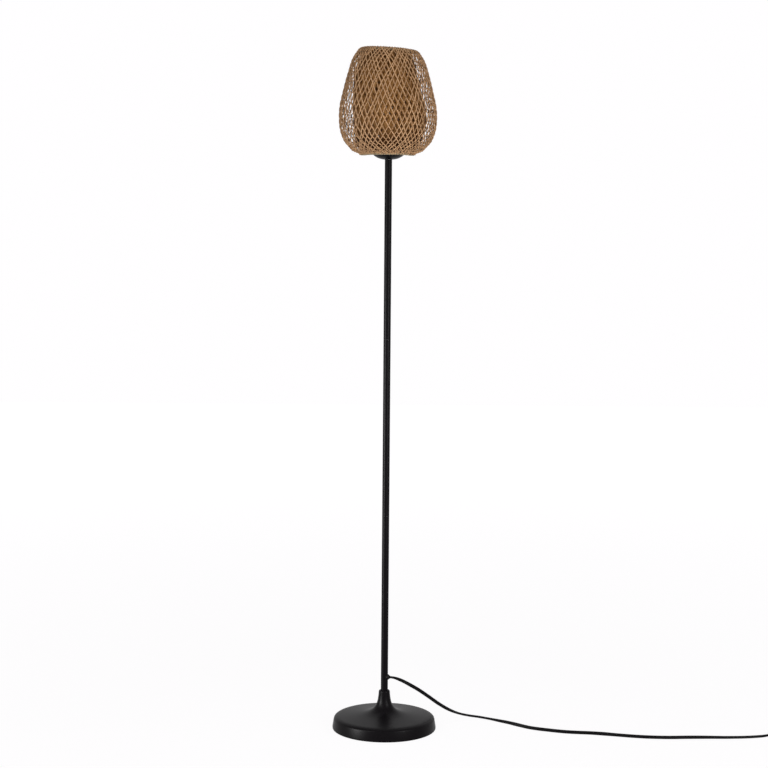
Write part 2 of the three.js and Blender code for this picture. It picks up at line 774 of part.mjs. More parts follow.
// Where the rows of crossings lie along the outline, so that the strips climb at their slants.
function crossingPlaces(curve) {
  const length = curve.getLength();
  const points = curve.getSpacedPoints(WEAVE_ROWS * WEAVE_STRIPS);
  const step = length / (points.length - 1);
  const slantAt = (share) => {
    const next = Math.max(1, WEAVE_SLANT_SHARES.findIndex(([end]) => end >= share));
    const [from, low] = WEAVE_SLANT_SHARES[next - 1];
    const [to, high] = WEAVE_SLANT_SHARES[next];
    return THREE.MathUtils.mapLinear(share, from, to, low, high);
  };
  const turns = [0];
  for (let i = 1; i < points.length; i++) {
    turns.push(turns[i - 1] + (slantAt(i / (points.length - 1)) * step) / points[i].x);
  }
  const turnAt = (place) => {
    const i = Math.min(Math.floor(place / step), turns.length - 2);
    return THREE.MathUtils.lerp(turns[i], turns[i + 1], place / step - i);
  };
  const first = turnAt(WEAVE_RIM);
  const last = turnAt(length - WEAVE_RIM);
  const places = [WEAVE_RIM];
  for (let row = 1; row < WEAVE_ROWS; row++) {
    const turn = THREE.MathUtils.lerp(first, last, row / WEAVE_ROWS);
    const i = turns.findIndex((value) => value > turn) - 1;
    places.push(step * (i + (turn - turns[i]) / (turns[i + 1] - turns[i])));
  }
  return [...places, length - WEAVE_RIM];
}

// The outer layer: strips that climb both ways round and cross in diamonds, between two plain edges.
function openWeave(outline) {
  const curve = new THREE.SplineCurve(outline);
  const length = curve.getLength();
  const places = crossingPlaces(curve);
  const outer = [];
  const inner = [];
  const faces = [];
  const addPoint = (angle, place) => {
    const point = curve.getPointAt(place / length);
    const along = curve.getTangentAt(place / length);
    const radiusInside = point.x - along.y * WEAVE_THICKNESS;
    const heightInside = point.y + along.x * WEAVE_THICKNESS;
    const [across, back] = [Math.cos(angle), Math.sin(angle)];
    outer.push(new THREE.Vector3(point.x * across, point.x * back, point.y));
    inner.push(new THREE.Vector3(radiusInside * across, radiusInside * back, heightInside));
    return outer.length - 1;
  };
  const rows = places.map((place, row) => {
    const climb = places[Math.min(row + 1, WEAVE_ROWS)] - places[Math.max(row - 1, 0)];
    const climbs = Math.min(row + 1, WEAVE_ROWS) - Math.max(row - 1, 0);
    const radius = curve.getPointAt(place / length).x;
    const slant = Math.atan2((radius * Math.PI * climbs) / WEAVE_STRIPS, climb);
    const halfTurn = STRIP_WIDTH / 2 / Math.cos(slant) / radius;
    const halfRise = STRIP_WIDTH / 2 / Math.sin(slant);
    return Array.from({ length: WEAVE_STRIPS }, (_, i) => {
      const angle = ((i + (row % 2) / 2) * 2 * Math.PI) / WEAVE_STRIPS;
      const crossing = {
        left: addPoint(angle - halfTurn, place),
        right: addPoint(angle + halfTurn, place),
      };
      if (row > 0) {
        crossing.down = addPoint(angle, place - halfRise);
      } else {
        crossing.leftEdge = addPoint(angle - halfTurn, 0);
        crossing.rightEdge = addPoint(angle + halfTurn, 0);
      }
      if (row < WEAVE_ROWS) {
        crossing.up = addPoint(angle, place + halfRise);
      } else {
        crossing.leftEdge = addPoint(angle - halfTurn, length);
        crossing.rightEdge = addPoint(angle + halfTurn, length);
      }
      return crossing;
    });
  });
  rows.forEach((crossings, row) => {
    crossings.forEach((crossing, i) => {
      const { left, right, up, down, leftEdge, rightEdge } = crossing;
      const beside = crossings[(i + 1) % WEAVE_STRIPS];
      if (row === 0) {
        faces.push([left, right, up]);
        faces.push([leftEdge, rightEdge, right, left]);
        faces.push([rightEdge, beside.leftEdge, beside.left, right]);
      } else if (row === WEAVE_ROWS) {
        faces.push([down, right, left]);
        faces.push([left, right, rightEdge, leftEdge]);
        faces.push([right, beside.left, beside.leftEdge, rightEdge]);
      } else {
        faces.push([down, right, up, left]);
      }
      if (row < WEAVE_ROWS) {
        const onRight = rows[row + 1][(i + (row % 2)) % WEAVE_STRIPS];
        const onLeft = rows[row + 1][(i + (row % 2) + WEAVE_STRIPS - 1) % WEAVE_STRIPS];
        faces.push([right, onRight.down, onRight.left, up]);
        faces.push([left, up, onLeft.right, onLeft.down]);
      }
    });
  });
  return walledSkin(outer, inner, faces);
}

function hoop(outerRadius) {
  const path = new THREE.Path();
  path.moveTo(HOOP_BORE_RADIUS, HOOP_CORNER);
  path.lineTo(HOOP_BORE_RADIUS + HOOP_CORNER, 0);
  path.lineTo(outerRadius - HOOP_CORNER, 0);
  path.lineTo(outerRadius, HOOP_CORNER);
  path.lineTo(outerRadius, HOOP_HEIGHT);
  path.lineTo(HOOP_BORE_RADIUS, HOOP_HEIGHT);
  path.lineTo(HOOP_BORE_RADIUS, HOOP_CORNER);
  return revolve(path.getPoints(), WIDE_SIDES);
}

// A welded wire frame: a ring under the weave, and arms up to a washer that the lamp holder clamps.
function shadeFrame(washerHeight) {
  const wireRadius = FRAME_WIRE / 2;
  const washerInner = HOLDER_RADIUS + TOUCH_GAP;
  const washer = ring(washerInner, washerInner + WASHER_RING_WIDTH, WASHER_RING_THICKNESS, ROUND_SIDES)
    .translate(0, 0, washerHeight);
  const outerRing = new THREE.TorusGeometry(FRAME_RING_RADIUS, wireRadius, 8, WIDE_SIDES);
  const wireSection = new THREE.Shape().absarc(0, 0, wireRadius, 0, 2 * Math.PI, false);
  const arms = [];
  for (let i = 0; i < FRAME_ARMS; i++) {
    const reach = washerInner + WASHER_RING_WIDTH - wireRadius / 2;
    const inner = new THREE.Vector3(reach, 0, washerHeight + WASHER_RING_THICKNESS / 2);
    const outer = new THREE.Vector3(FRAME_RING_RADIUS, 0, 0);
    const arm = new THREE.ExtrudeGeometry(wireSection, {
      steps: 1,
      curveSegments: 4,
      bevelEnabled: false,
      extrudePath: new THREE.LineCurve3(inner, outer),
    });
    arms.push(arm.rotateZ(Math.PI / 2 + (i * 2 * Math.PI) / FRAME_ARMS));
  }
  return joined(washer, outerRing, ...arms);
}

function addShade() {
  const shade = new THREE.Group();
  shade.position.z = SHADE_FOOT;
  const weaveFoot = HOOP_HEIGHT + TOUCH_GAP;
  const topHoopFoot = SHADE_HEIGHT - HOOP_HEIGHT - TOUCH_GAP;
  const outerOutline = bellied(
    OUTER_LOWER_SHARES,
    OUTER_UPPER_SHARES,
    BOTTOM_HOOP_RADIUS,
    SHADE_RADIUS,
    TOP_HOOP_RADIUS + WEAVE_LAP,
    weaveFoot,
    SHADE_HEIGHT,
  );
  const innerOutline = bellied(
    INNER_LOWER_SHARES,
    INNER_UPPER_SHARES,
    INNER_FOOT_RADIUS,
    INNER_BELLY_RADIUS,
    INNER_TOP_RADIUS,
    weaveFoot,
    topHoopFoot - TOUCH_GAP,
  );
  place(shade, "bottom_hoop", hoop(BOTTOM_HOOP_RADIUS), rattan());
  place(shade, "top_hoop", hoop(TOP_HOOP_RADIUS), rattan(), topHoopFoot);
  place(shade, "outer_weave", openWeave(outerOutline), rattan());
  place(shade, "inner_weave", revolve(thicken(innerOutline, WEAVE_THICKNESS), WIDE_SIDES), rattan());
  const wireHeight = HOOP_HEIGHT + TOUCH_GAP + FRAME_WIRE / 2;
  const washerHeight = SKIRT_FOOT + FLANGE_HEIGHT + FLANGE_THICKNESS + TOUCH_GAP - SHADE_FOOT - wireHeight;
  place(shade, "shade_frame", shadeFrame(washerHeight), blackPowderCoat(), wireHeight);
  lamp.add(shade);
}

// Cup and lamp holder

function cupOutline() {
  const path = new THREE.Path();
  path.moveTo(BORE_WITH_THREAD, 0);
  path.lineTo(CUP_FLAT_RADIUS, 0);
  path.quadraticCurveTo(CUP_RADIUS * CUP_CURVE_SHARE, CUP_WALL / 2, CUP_RADIUS, CUP_DEPTH);
  return path.getPoints(4);
}

function holderCapOutline() {
  const shoulder = HOLDER_CAP_HEIGHT / 2;
  const path = new THREE.Path();
  path.moveTo(BORE_WITH_THREAD, 0);
  path.lineTo(HOLDER_CAP_FOOT_RADIUS, 0);
  path.quadraticCurveTo(HOLDER_RADIUS, 0, HOLDER_RADIUS, shoulder);
  path.lineTo(HOLDER_RADIUS, HOLDER_CAP_HEIGHT);
  return path.getPoints(3);
}

// The holder's upper half: a flange that the shade frame rests on, and a bore for the thread shell.
function holderSkirt() {
  const socket = HOLDER_RADIUS - HOLDER_WALL;
  const floor = CORE_THICKNESS + TOUCH_GAP;
  const flangeTop = FLANGE_HEIGHT + FLANGE_THICKNESS;
  return revolve(
    [
      at(socket, 0),
      at(HOLDER_RADIUS, 0),
      at(HOLDER_RADIUS, FLANGE_HEIGHT),
      at(FLANGE_RADIUS, FLANGE_HEIGHT),
      at(FLANGE_RADIUS, flangeTop),
      at(HOLDER_RADIUS, flangeTop),
      at(HOLDER_RADIUS, SKIRT_HEIGHT),
      at(SKIRT_BORE_RADIUS, SKIRT_HEIGHT),
      at(SKIRT_BORE_RADIUS, floor),
      at(socket, floor),
      at(socket, 0),
    ],
    ROUND_SIDES,
  );
}

function addHolder() {
  const holder = new THREE.Group();
  const shellOuter = SKIRT_BORE_RADIUS - TOUCH_GAP;
  const washerTop = SKIRT_FOOT + FLANGE_HEIGHT + FLANGE_THICKNESS + TOUCH_GAP + WASHER_RING_THICKNESS;
  const coreRadius = HOLDER_RADIUS - HOLDER_WALL - TOUCH_GAP;
  const cup = revolve(thicken(cupOutline(), CUP_WALL), WIDE_SIDES);
  const cap = revolve(thicken(holderCapOutline(), HOLDER_WALL), ROUND_SIDES);
  place(holder, "shade_cup", cup, blackPowderCoat(), CUP_FOOT);
  place(holder, "holder_cap", cap, blackPlastic(), CAP_FOOT);
  place(
    holder,
    "holder_locknut",
    nut(LOCKNUT_WIDTH, BORE_WITH_THREAD, LOCKNUT_THICKNESS),
    zincPlate(),
    CAP_FOOT + HOLDER_WALL + TOUCH_GAP,
  );
  place(holder, "holder_core", holderCore(coreRadius), paleCeramic(), CORE_FOOT);
  place(holder, "holder_skirt", holderSkirt(), blackPlastic(), SKIRT_FOOT);
  place(
    holder,
    "thread_shell",
    ring(shellOuter - THREAD_SHELL_WALL, shellOuter, THREAD_SHELL_HEIGHT, ROUND_SIDES),
    brassPlate(),
    CONTACT_FOOT,
  );
  place(
    holder,
    "centre_contact",
    new THREE.BoxGeometry(CONTACT_LENGTH, CONTACT_WIDTH, CONTACT_THICKNESS),
    brassPlate(),
    CONTACT_FOOT + CONTACT_THICKNESS / 2,
  );
  place(
    holder,
    "shade_ring_nut",
    ring(HOLDER_RADIUS + TOUCH_GAP, RING_NUT_RADIUS, RING_NUT_HEIGHT, ROUND_SIDES),
    blackPlastic(),
    washerTop + TOUCH_GAP,
  );
  lamp.add(holder);
}

// A ceramic disc with a slot that the flex's cores rise through, shut by the contact above it.
function holderCore(radius) {
  const well = new THREE.BoxGeometry(FLEX_WIDTH + FLEX_THICKNESS, FLEX_WIDTH, CORE_THICKNESS);
  return cutFrom(disc(radius, CORE_THICKNESS, ROUND_SIDES), well.translate(0, 0, -FLEX_THICKNESS));
}

// Bulb

function addBulb() {
  const cap = new THREE.Path();
  cap.moveTo(0, 0);
  cap.lineTo(BULB_TIP_RADIUS, 0);
  cap.lineTo(BULB_CAP_RADIUS, BULB_TIP_HEIGHT);
  cap.lineTo(BULB_CAP_RADIUS, BULB_CAP_HEIGHT);
  const glass = new THREE.Path();
  const belly = BULB_GLASS_HEIGHT - BULB_RADIUS;
  glass.moveTo(BULB_NECK_RADIUS, 0);
  glass.bezierCurveTo(BULB_NECK_RADIUS, belly / 2, BULB_RADIUS, belly / 2, BULB_RADIUS, belly);
  glass.absarc(0, belly, BULB_RADIUS, 0, Math.PI / 2, false);
  const capWall = thicken(cap.getPoints(), BULB_CAP_WALL);
  const glassWall = thicken(glass.getPoints(3), BULB_WALL);
  const bulb = new THREE.Group();
  bulb.position.z = BULB_FOOT;
  place(bulb, "bulb_cap", revolve(capWall, ROUND_SIDES), zincPlate());
  place(bulb, "bulb_glass", revolve(glassWall, ROUND_SIDES), opalGlass(), BULB_CAP_HEIGHT + TOUCH_GAP);
  lamp.add(bulb);
}

// Foot switch

// The outside of one half of the switch: its edges round off towards the top.
function switchHalf(height) {
  const shape = roundedRectangle(
    SWITCH_LENGTH - 2 * SWITCH_BEVEL,
    SWITCH_WIDTH - 2 * SWITCH_BEVEL,
    SWITCH_CORNER - SWITCH_BEVEL,
  );
  const block = new THREE.ExtrudeGeometry(shape, {
    depth: height - SWITCH_BEVEL,
    bevelThickness: SWITCH_BEVEL,
    bevelSize: SWITCH_BEVEL,
    bevelSegments: 2,
    curveSegments: 4,
  });
  const below = new THREE.BoxGeometry(2 * SWITCH_LENGTH, 2 * SWITCH_WIDTH, height);
  return cutFrom(block, below.translate(0, 0, -height / 2));
}

// A half's hollow, open below.
function switchHollow(height) {
  const inset = SWITCH_WALL + SWITCH_BEVEL / 2;
  const length = SWITCH_LENGTH - 2 * inset;
  const width = SWITCH_WIDTH - 2 * inset;
  const shape = roundedRectangle(length, width, SWITCH_CORNER - inset);
  return new THREE.ExtrudeGeometry(shape, { depth: height, bevelEnabled: false, curveSegments: 4 })
    .translate(0, 0, -SWITCH_WALL);
}

function switchTray() {
  return cutFrom(switchHalf(SWITCH_TRAY_HEIGHT), switchHollow(SWITCH_TRAY_HEIGHT))
    .rotateX(Math.PI)
    .translate(0, 0, SWITCH_TRAY_HEIGHT);
}

function switchCover() {
  const hole = disc(BUTTON_RADIUS + BUTTON_CLEARANCE, 2 * SWITCH_COVER_HEIGHT, ROUND_SIDES);
  return cutFrom(switchHalf(SWITCH_COVER_HEIGHT), switchHollow(SWITCH_COVER_HEIGHT), hole);
}

// A push button with a flange that keeps it under the cover.
function switchButton() {
  const coverUnderside = SWITCH_COVER_HEIGHT - SWITCH_WALL - TOUCH_GAP;
  const top = SWITCH_COVER_HEIGHT + BUTTON_PRESSED_HEIGHT + BUTTON_TRAVEL;
  const path = new THREE.Path();
  path.moveTo(0, coverUnderside - BUTTON_FLANGE_THICKNESS);
  path.lineTo(BUTTON_RADIUS + BUTTON_FLANGE, coverUnderside - BUTTON_FLANGE_THICKNESS);
  path.lineTo(BUTTON_RADIUS + BUTTON_FLANGE, coverUnderside);
  path.lineTo(BUTTON_RADIUS, coverUnderside);
  path.lineTo(BUTTON_RADIUS, top - BUTTON_FLANGE);
  path.quadraticCurveTo(BUTTON_RADIUS, top, BUTTON_RADIUS - 2 * BUTTON_FLANGE, top);
  path.lineTo(0, top);
  return revolve(path.getPoints(3), ROUND_SIDES);
}

// A round wire spring between the contact block and the button.
function switchSpring(height) {
  const points = [];
  const steps = SPRING_TURNS * 8;
  for (let i = 0; i <= steps; i++) {
    const angle = (i / steps) * SPRING_TURNS * 2 * Math.PI;
    const rise = SPRING_WIRE / 2 + ((height - SPRING_WIRE) * i) / steps;
    points.push(new THREE.Vector3(SPRING_RADIUS * Math.cos(angle), SPRING_RADIUS * Math.sin(angle), rise));
  }
  return new THREE.ExtrudeGeometry(new THREE.Shape().absarc(0, 0, SPRING_WIRE / 2, 0, 2 * Math.PI, false), {
    steps,
    curveSegments: 3,
    bevelEnabled: false,
    extrudePath: new THREE.CatmullRomCurve3(points),
  });
}

// A tapered boot at one end of the switch, with a slot for the flex.
function switchBoot() {
  const width = FLEX_WIDTH / 2 + BOOT_WALL;
  const height = FLEX_THICKNESS / 2 + BOOT_WALL;
  const body = loft([
    ovalAcross(0, width + BOOT_WALL, height + BOOT_WALL / 2, SMALL_SIDES, SOFT_EDGE_SHARE),
    ovalAcross(SLEEVE_BOOT_LENGTH, width, height - BOOT_WALL / 2, SMALL_SIDES, SOFT_EDGE_SHARE),
  ]);
  const slot = new THREE.BoxGeometry(
    4 * SLEEVE_BOOT_LENGTH,
    FLEX_WIDTH + 2 * FLEX_CLEARANCE,
    FLEX_THICKNESS + 2 * FLEX_CLEARANCE,
  );
  return cutFrom(body, slot);
}

function addFootSwitch() {
  const unit = new THREE.Group();
  unit.position.set(SWITCH_X, SWITCH_Y, 0);
  const coverFoot = SWITCH_TRAY_HEIGHT + TOUCH_GAP;
  const blockFoot = SWITCH_WALL + TOUCH_GAP;
  const blockTop = blockFoot + CONTACT_BLOCK_HEIGHT;
  const flangeTop = coverFoot + SWITCH_COVER_HEIGHT - SWITCH_WALL - TOUCH_GAP;
  const buttonUnderside = flangeTop - BUTTON_FLANGE_THICKNESS;
  place(unit, "switch_tray", switchTray(), blackPlastic());
  place(unit, "switch_cover", switchCover(), blackPlastic(), coverFoot);
  place(unit, "switch_button", switchButton(), blackPlastic(), coverFoot);
  place(
    unit,
    "switch_contacts",
    new THREE.BoxGeometry(CONTACT_BLOCK_LENGTH, CONTACT_BLOCK_WIDTH, CONTACT_BLOCK_HEIGHT)
      .translate(0, 0, CONTACT_BLOCK_HEIGHT / 2),
    paleCeramic(),
    blockFoot,
  );
  place(
    unit,
    "switch_spring",
    switchSpring(buttonUnderside - blockTop - 2 * TOUCH_GAP),
    zincPlate(),
    blockTop + TOUCH_GAP,
  );
  for (const [name, side] of [["switch_boot_in", -1], ["switch_boot_out", 1]]) {
    const boot = place(unit, name, switchBoot(), blackPlastic(), SWITCH_FLEX_HEIGHT);
    boot.position.x = side * (SWITCH_LENGTH / 2 + TOUCH_GAP);
    boot.rotation.z = side < 0 ? Math.PI : 0;
  }
  lamp.add(unit);
}

// Free flex

const bootReach = SWITCH_LENGTH / 2 + TOUCH_GAP + SLEEVE_BOOT_LENGTH + TOUCH_GAP;
const coilLower = TIE_THICKNESS + TOUCH_GAP + FLEX_WIDTH / 2;
const coilUpper = coilLower + FLEX_WIDTH + COIL_LAYER_GAP;
const coilMiddleY = SWITCH_Y + COIL_OUTER_RADIUS;
const coilLeaveY = coilMiddleY + COIL_OUTER_RADIUS;

function addLead() {
  const tip = POLE_RADIUS + BUSH_REACH + TOUCH_GAP;
  const straightOut = (distance) => [
    distance * Math.cos(exitTurn),
    distance * Math.sin(exitTurn),
    EXIT_HEIGHT,
    0,
  ];
  const end = SWITCH_X - bootReach;
  const rows = [
    straightOut(tip),
    straightOut(tip + FLEX_THICKNESS),
    ...LEAD_ROUTE,
    [end - 2 * FLEX_WIDTH, SWITCH_Y - TOUCH_GAP, FLEX_THICKNESS, 0],
    [end, SWITCH_Y, SWITCH_FLEX_HEIGHT, 0],
  ];
  const curve = flexThrough(rows);
  const steps = Math.round(curve.getLength() / (LEAD_STEP_WIDTHS * FLEX_WIDTH));
  place(lamp, "flex_to_switch", flexAlong(curve, steps, 8), flexSheath());
  return curve.getLength();
}

// The centre line of the coil: in along +X below, round and round, and out along -X on top.
function coilCentreLine() {
  const points = [new THREE.Vector3(COIL_X - FLEX_WIDTH, SWITCH_Y, coilLower)];
  const steps = COIL_TURNS * COIL_STEPS_PER_TURN;
  const middle = COIL_TURNS / 2;
  const least = COIL_OUTER_RADIUS - COIL_PITCH * middle;
  for (let i = 0; i <= steps; i++) {
    const turn = i / COIL_STEPS_PER_TURN;
    const radius = least + COIL_PITCH * Math.abs(turn - middle);
    const angle = -Math.PI / 2 + turn * 2 * Math.PI;
    const halfClimb = COIL_CLIMB_SHARE / 2;
    const climb = THREE.MathUtils.smoothstep(turn, middle - halfClimb, middle + halfClimb);
    points.push(
      new THREE.Vector3(
        COIL_X + radius * Math.cos(angle),
        coilMiddleY + radius * Math.sin(angle),
        THREE.MathUtils.lerp(coilLower, coilUpper, climb),
      ),
    );
  }
  points.push(new THREE.Vector3(COIL_X - FLEX_WIDTH, coilLeaveY, coilUpper));
  return points;
}

// The least gap between turns of the coil, with each place on it taken as an upright flat strip.
function leastCoilGap(points) {
  let least = Infinity;
  points.forEach((a, i) => {
    points.forEach((b, j) => {
      if (j - i < COIL_STEPS_PER_TURN / 2) {
        return;
      }
      const beside = Math.hypot(a.x - b.x, a.y - b.y) - FLEX_THICKNESS;
      const above = Math.abs(a.z - b.z) - FLEX_WIDTH;
      least = Math.min(least, Math.max(beside, above));
    });
  });
  return least;
}

function addCoil() {
  const points = coilCentreLine();
  const upright = () => new THREE.Vector3(0, 0, 1);
  const section = flexSection(6).getPoints();
  const rings = points.map((point, i) => {
    const before = points[Math.max(i - 1, 0)];
    const after = points[Math.min(i + 1, points.length - 1)];
    const tangent = after.clone().sub(before).normalize();
    const wide = upright().addScaledVector(tangent, -tangent.z).normalize();
    const thin = tangent.clone().cross(wide);
    return section.map((p) => point.clone().addScaledVector(wide, p.x).addScaledVector(thin, p.y));
  });
  place(lamp, "flex_coil", loft(rings), flexSheath());
  let length = 0;
  for (let i = 1; i < points.length; i++) {
    length += points[i].distanceTo(points[i - 1]);
  }
  const gap = leastCoilGap(points);
  console.log(`coil: ${length.toFixed(0)} mm of flex, least gap between turns ${gap.toFixed(2)} mm`);
  return length;
}

// Short stretches: from the switch to the coil, and from the coil to the plug.
function addLinks() {
  const start = SWITCH_X + bootReach;
  const coilStart = COIL_X - FLEX_WIDTH - TOUCH_GAP;
  const toCoil = flexThrough([
    [start, SWITCH_Y, SWITCH_FLEX_HEIGHT, 0],
    [start + FLEX_WIDTH, SWITCH_Y, SWITCH_FLEX_HEIGHT, 15],
    [(start + coilStart) / 2, SWITCH_Y, (SWITCH_FLEX_HEIGHT + coilLower) / 2, 45],
    [coilStart - FLEX_WIDTH, SWITCH_Y, coilLower, 80],
    [coilStart, SWITCH_Y, coilLower, 90],
  ]);
  const neckEnd = PLUG_X + PLUG_NECK_LENGTH + TOUCH_GAP;
  const toPlug = flexThrough([
    [coilStart, coilLeaveY, coilUpper, 90],
    [coilStart - FLEX_WIDTH, coilLeaveY, coilUpper, 75],
    [(coilStart + neckEnd) / 2, coilLeaveY, (coilUpper + PLUG_THICKNESS / 2) / 2, 45],
    [neckEnd + FLEX_THICKNESS, coilLeaveY, PLUG_THICKNESS / 2, 10],
    [neckEnd, coilLeaveY, PLUG_THICKNESS / 2, 0],
  ]);
  place(lamp, "flex_from_switch", flexAlong(toCoil, 6, 8), flexSheath());
  place(lamp, "flex_to_plug", flexAlong(toPlug, 6, 8), flexSheath());
  return toCoil.getLength() + toPlug.getLength();
}

// A flat tie round the coil's turns on the side towards the switch.
function addTie() {
  const middle = COIL_TURNS / 2;
  const turnsFromMiddle = [];
  for (let turn = TIE_TURN_SHARE; turn < COIL_TURNS; turn++) {
    turnsFromMiddle.push(Math.abs(turn - middle));
  }
  const least = COIL_OUTER_RADIUS - COIL_PITCH * middle;
  const clearance = FLEX_THICKNESS / 2 + TIE_CLEARANCE;
  const nearest = least + COIL_PITCH * Math.min(...turnsFromMiddle) - clearance;
  const furthest = least + COIL_PITCH * Math.max(...turnsFromMiddle) + clearance;
  const bundleFoot = coilLower - FLEX_WIDTH / 2 - TOUCH_GAP;
  const bundleTop = coilUpper + FLEX_WIDTH / 2 + TOUCH_GAP;
  const outside = roundedRectangle(
    furthest - nearest + 2 * TIE_THICKNESS,
    bundleTop - bundleFoot + 2 * TIE_THICKNESS,
    2 * TIE_THICKNESS,
  );
  outside.holes.push(roundedRectangle(furthest - nearest, bundleTop - bundleFoot, TIE_THICKNESS));
  const settings = { depth: TIE_WIDTH, bevelEnabled: false, curveSegments: 2 };
  const band = new THREE.ExtrudeGeometry(outside, settings)
    .rotateX(Math.PI / 2)
    .translate(0, TIE_WIDTH / 2, (bundleTop + bundleFoot) / 2);
  const tie = place(lamp, "flex_tie", band, blackPlastic());
  tie.position.set(COIL_X - (nearest + furthest) / 2, coilMiddleY, 0);
}

// Plug

function plugBody() {
  const halfWidth = PLUG_WIDTH / 2;
  const halfThickness = PLUG_THICKNESS / 2;
  const halfNeck = PLUG_NECK_WIDTH / 2;
  const halfMouth = FLEX_THICKNESS / 2 + BOOT_WALL;
  const section = (x, width, height, roundness) => ovalAcross(x, width, height, ROUND_SIDES, roundness);
  return loft([
    section(-PLUG_LENGTH, halfWidth - BOOT_WALL, halfThickness - BOOT_WALL, SQUARE_EDGE_SHARE),
    section(-PLUG_LENGTH + BOOT_WALL, halfWidth, halfThickness, SQUARE_EDGE_SHARE),
    section(-PLUG_LENGTH / 2, halfWidth, halfThickness, SQUARE_EDGE_SHARE),
    section(-PLUG_LENGTH / 4, (halfWidth + halfNeck) / 2, halfThickness, SOFT_EDGE_SHARE),
    section(0, halfNeck, (halfThickness + halfMouth) / 2, SOFT_EDGE_SHARE),
    section(PLUG_NECK_LENGTH, halfNeck - BOOT_WALL / 2, halfMouth, SOFT_EDGE_SHARE),
  ]);
}

function plugPin() {
  const taper = PIN_RADIUS / 2;
  return revolve(
    [
      at(0, 0),
      at(PIN_RADIUS, 0),
      at(PIN_RADIUS, PIN_LENGTH - taper),
      at(PIN_RADIUS - taper, PIN_LENGTH),
      at(0, PIN_LENGTH),
    ],
    SMALL_SIDES,
  ).rotateY(-Math.PI / 2);
}

function addPlug() {
  const plug = new THREE.Group();
  plug.position.set(PLUG_X, coilLeaveY, PLUG_THICKNESS / 2);
  place(plug, "plug_body", plugBody(), blackPlastic());
  for (const [name, side] of [["plug_pin_front", -1], ["plug_pin_back", 1]]) {
    const pin = place(plug, name, plugPin(), zincPlate());
    pin.position.set(-PLUG_LENGTH - TOUCH_GAP, (side * PIN_SPACING) / 2, 0);
  }
  lamp.add(plug);
}

addBase();
addPole();
addFlexAtPole();
addShade();
addHolder();
addBulb();
addFootSwitch();
const leadLength = addLead();
const coilLength = addCoil();
const linkLength = addLinks();
addTie();
addPlug();
const beyondLength = coilLength + linkLength;
console.log(`flex to the switch: ${leadLength.toFixed(0)} mm, beyond it: ${beyondLength.toFixed(0)} mm`);

export default lamp;
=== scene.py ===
"""A floor lamp with a woven rattan shade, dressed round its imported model.

Laid out as a Blender add-on and run as a script: each piece, or group of like pieces, has an operator.
Lengths are in metres, and in millimetres in the tables and named sizes. +Z is up, and the lamp faces -Y.
"""
import json
import math
import random

import bmesh
import bpy
import numpy as np
from mathutils import Matrix, Vector


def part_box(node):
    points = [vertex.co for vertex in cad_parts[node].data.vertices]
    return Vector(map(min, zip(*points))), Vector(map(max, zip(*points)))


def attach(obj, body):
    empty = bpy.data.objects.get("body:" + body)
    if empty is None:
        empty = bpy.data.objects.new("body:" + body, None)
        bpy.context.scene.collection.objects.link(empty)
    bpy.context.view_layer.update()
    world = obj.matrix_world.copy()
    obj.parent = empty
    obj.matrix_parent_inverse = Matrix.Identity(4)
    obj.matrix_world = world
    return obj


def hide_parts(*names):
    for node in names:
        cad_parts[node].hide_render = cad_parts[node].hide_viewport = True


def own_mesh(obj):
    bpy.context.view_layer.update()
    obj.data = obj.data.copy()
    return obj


bl_info = {
    "name": "Rattan Floor Lamp",
    "version": (1, 0, 0),
    "blender": (4, 5, 0),
    "location": "3D View > Sidebar > Lamp",
    "description": "Dresses a floor lamp with woven strips, turned metal and a flat flex",
    "category": "Object",
}

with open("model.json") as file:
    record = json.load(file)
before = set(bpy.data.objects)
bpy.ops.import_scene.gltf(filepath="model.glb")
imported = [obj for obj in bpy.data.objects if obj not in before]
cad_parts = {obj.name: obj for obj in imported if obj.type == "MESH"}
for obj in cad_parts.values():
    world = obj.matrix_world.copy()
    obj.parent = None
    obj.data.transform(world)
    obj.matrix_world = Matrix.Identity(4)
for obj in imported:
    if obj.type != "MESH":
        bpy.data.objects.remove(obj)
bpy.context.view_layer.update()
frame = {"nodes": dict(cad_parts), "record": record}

MM = 0.001
TURN = 2 * math.pi
TURN_SIDES = 128  # flat sides of a turned piece that shows
MIDDLE_SIDES = 96
SMALL_SIDES = 48
LAMP_BODY = "lamp"

# The camera, as fitted to the photograph
CAMERA_LENS = 82.14
CAMERA_SENSOR = 36
CAMERA_PLACE = (-0.006, -3.8387, 1.1258)
CAMERA_PITCH_DEGREES = 5.246
CAMERA_ROLL_DEGREES = 0.443

FLEX_WIDTH = 8
FLEX_THICKNESS = 4.2
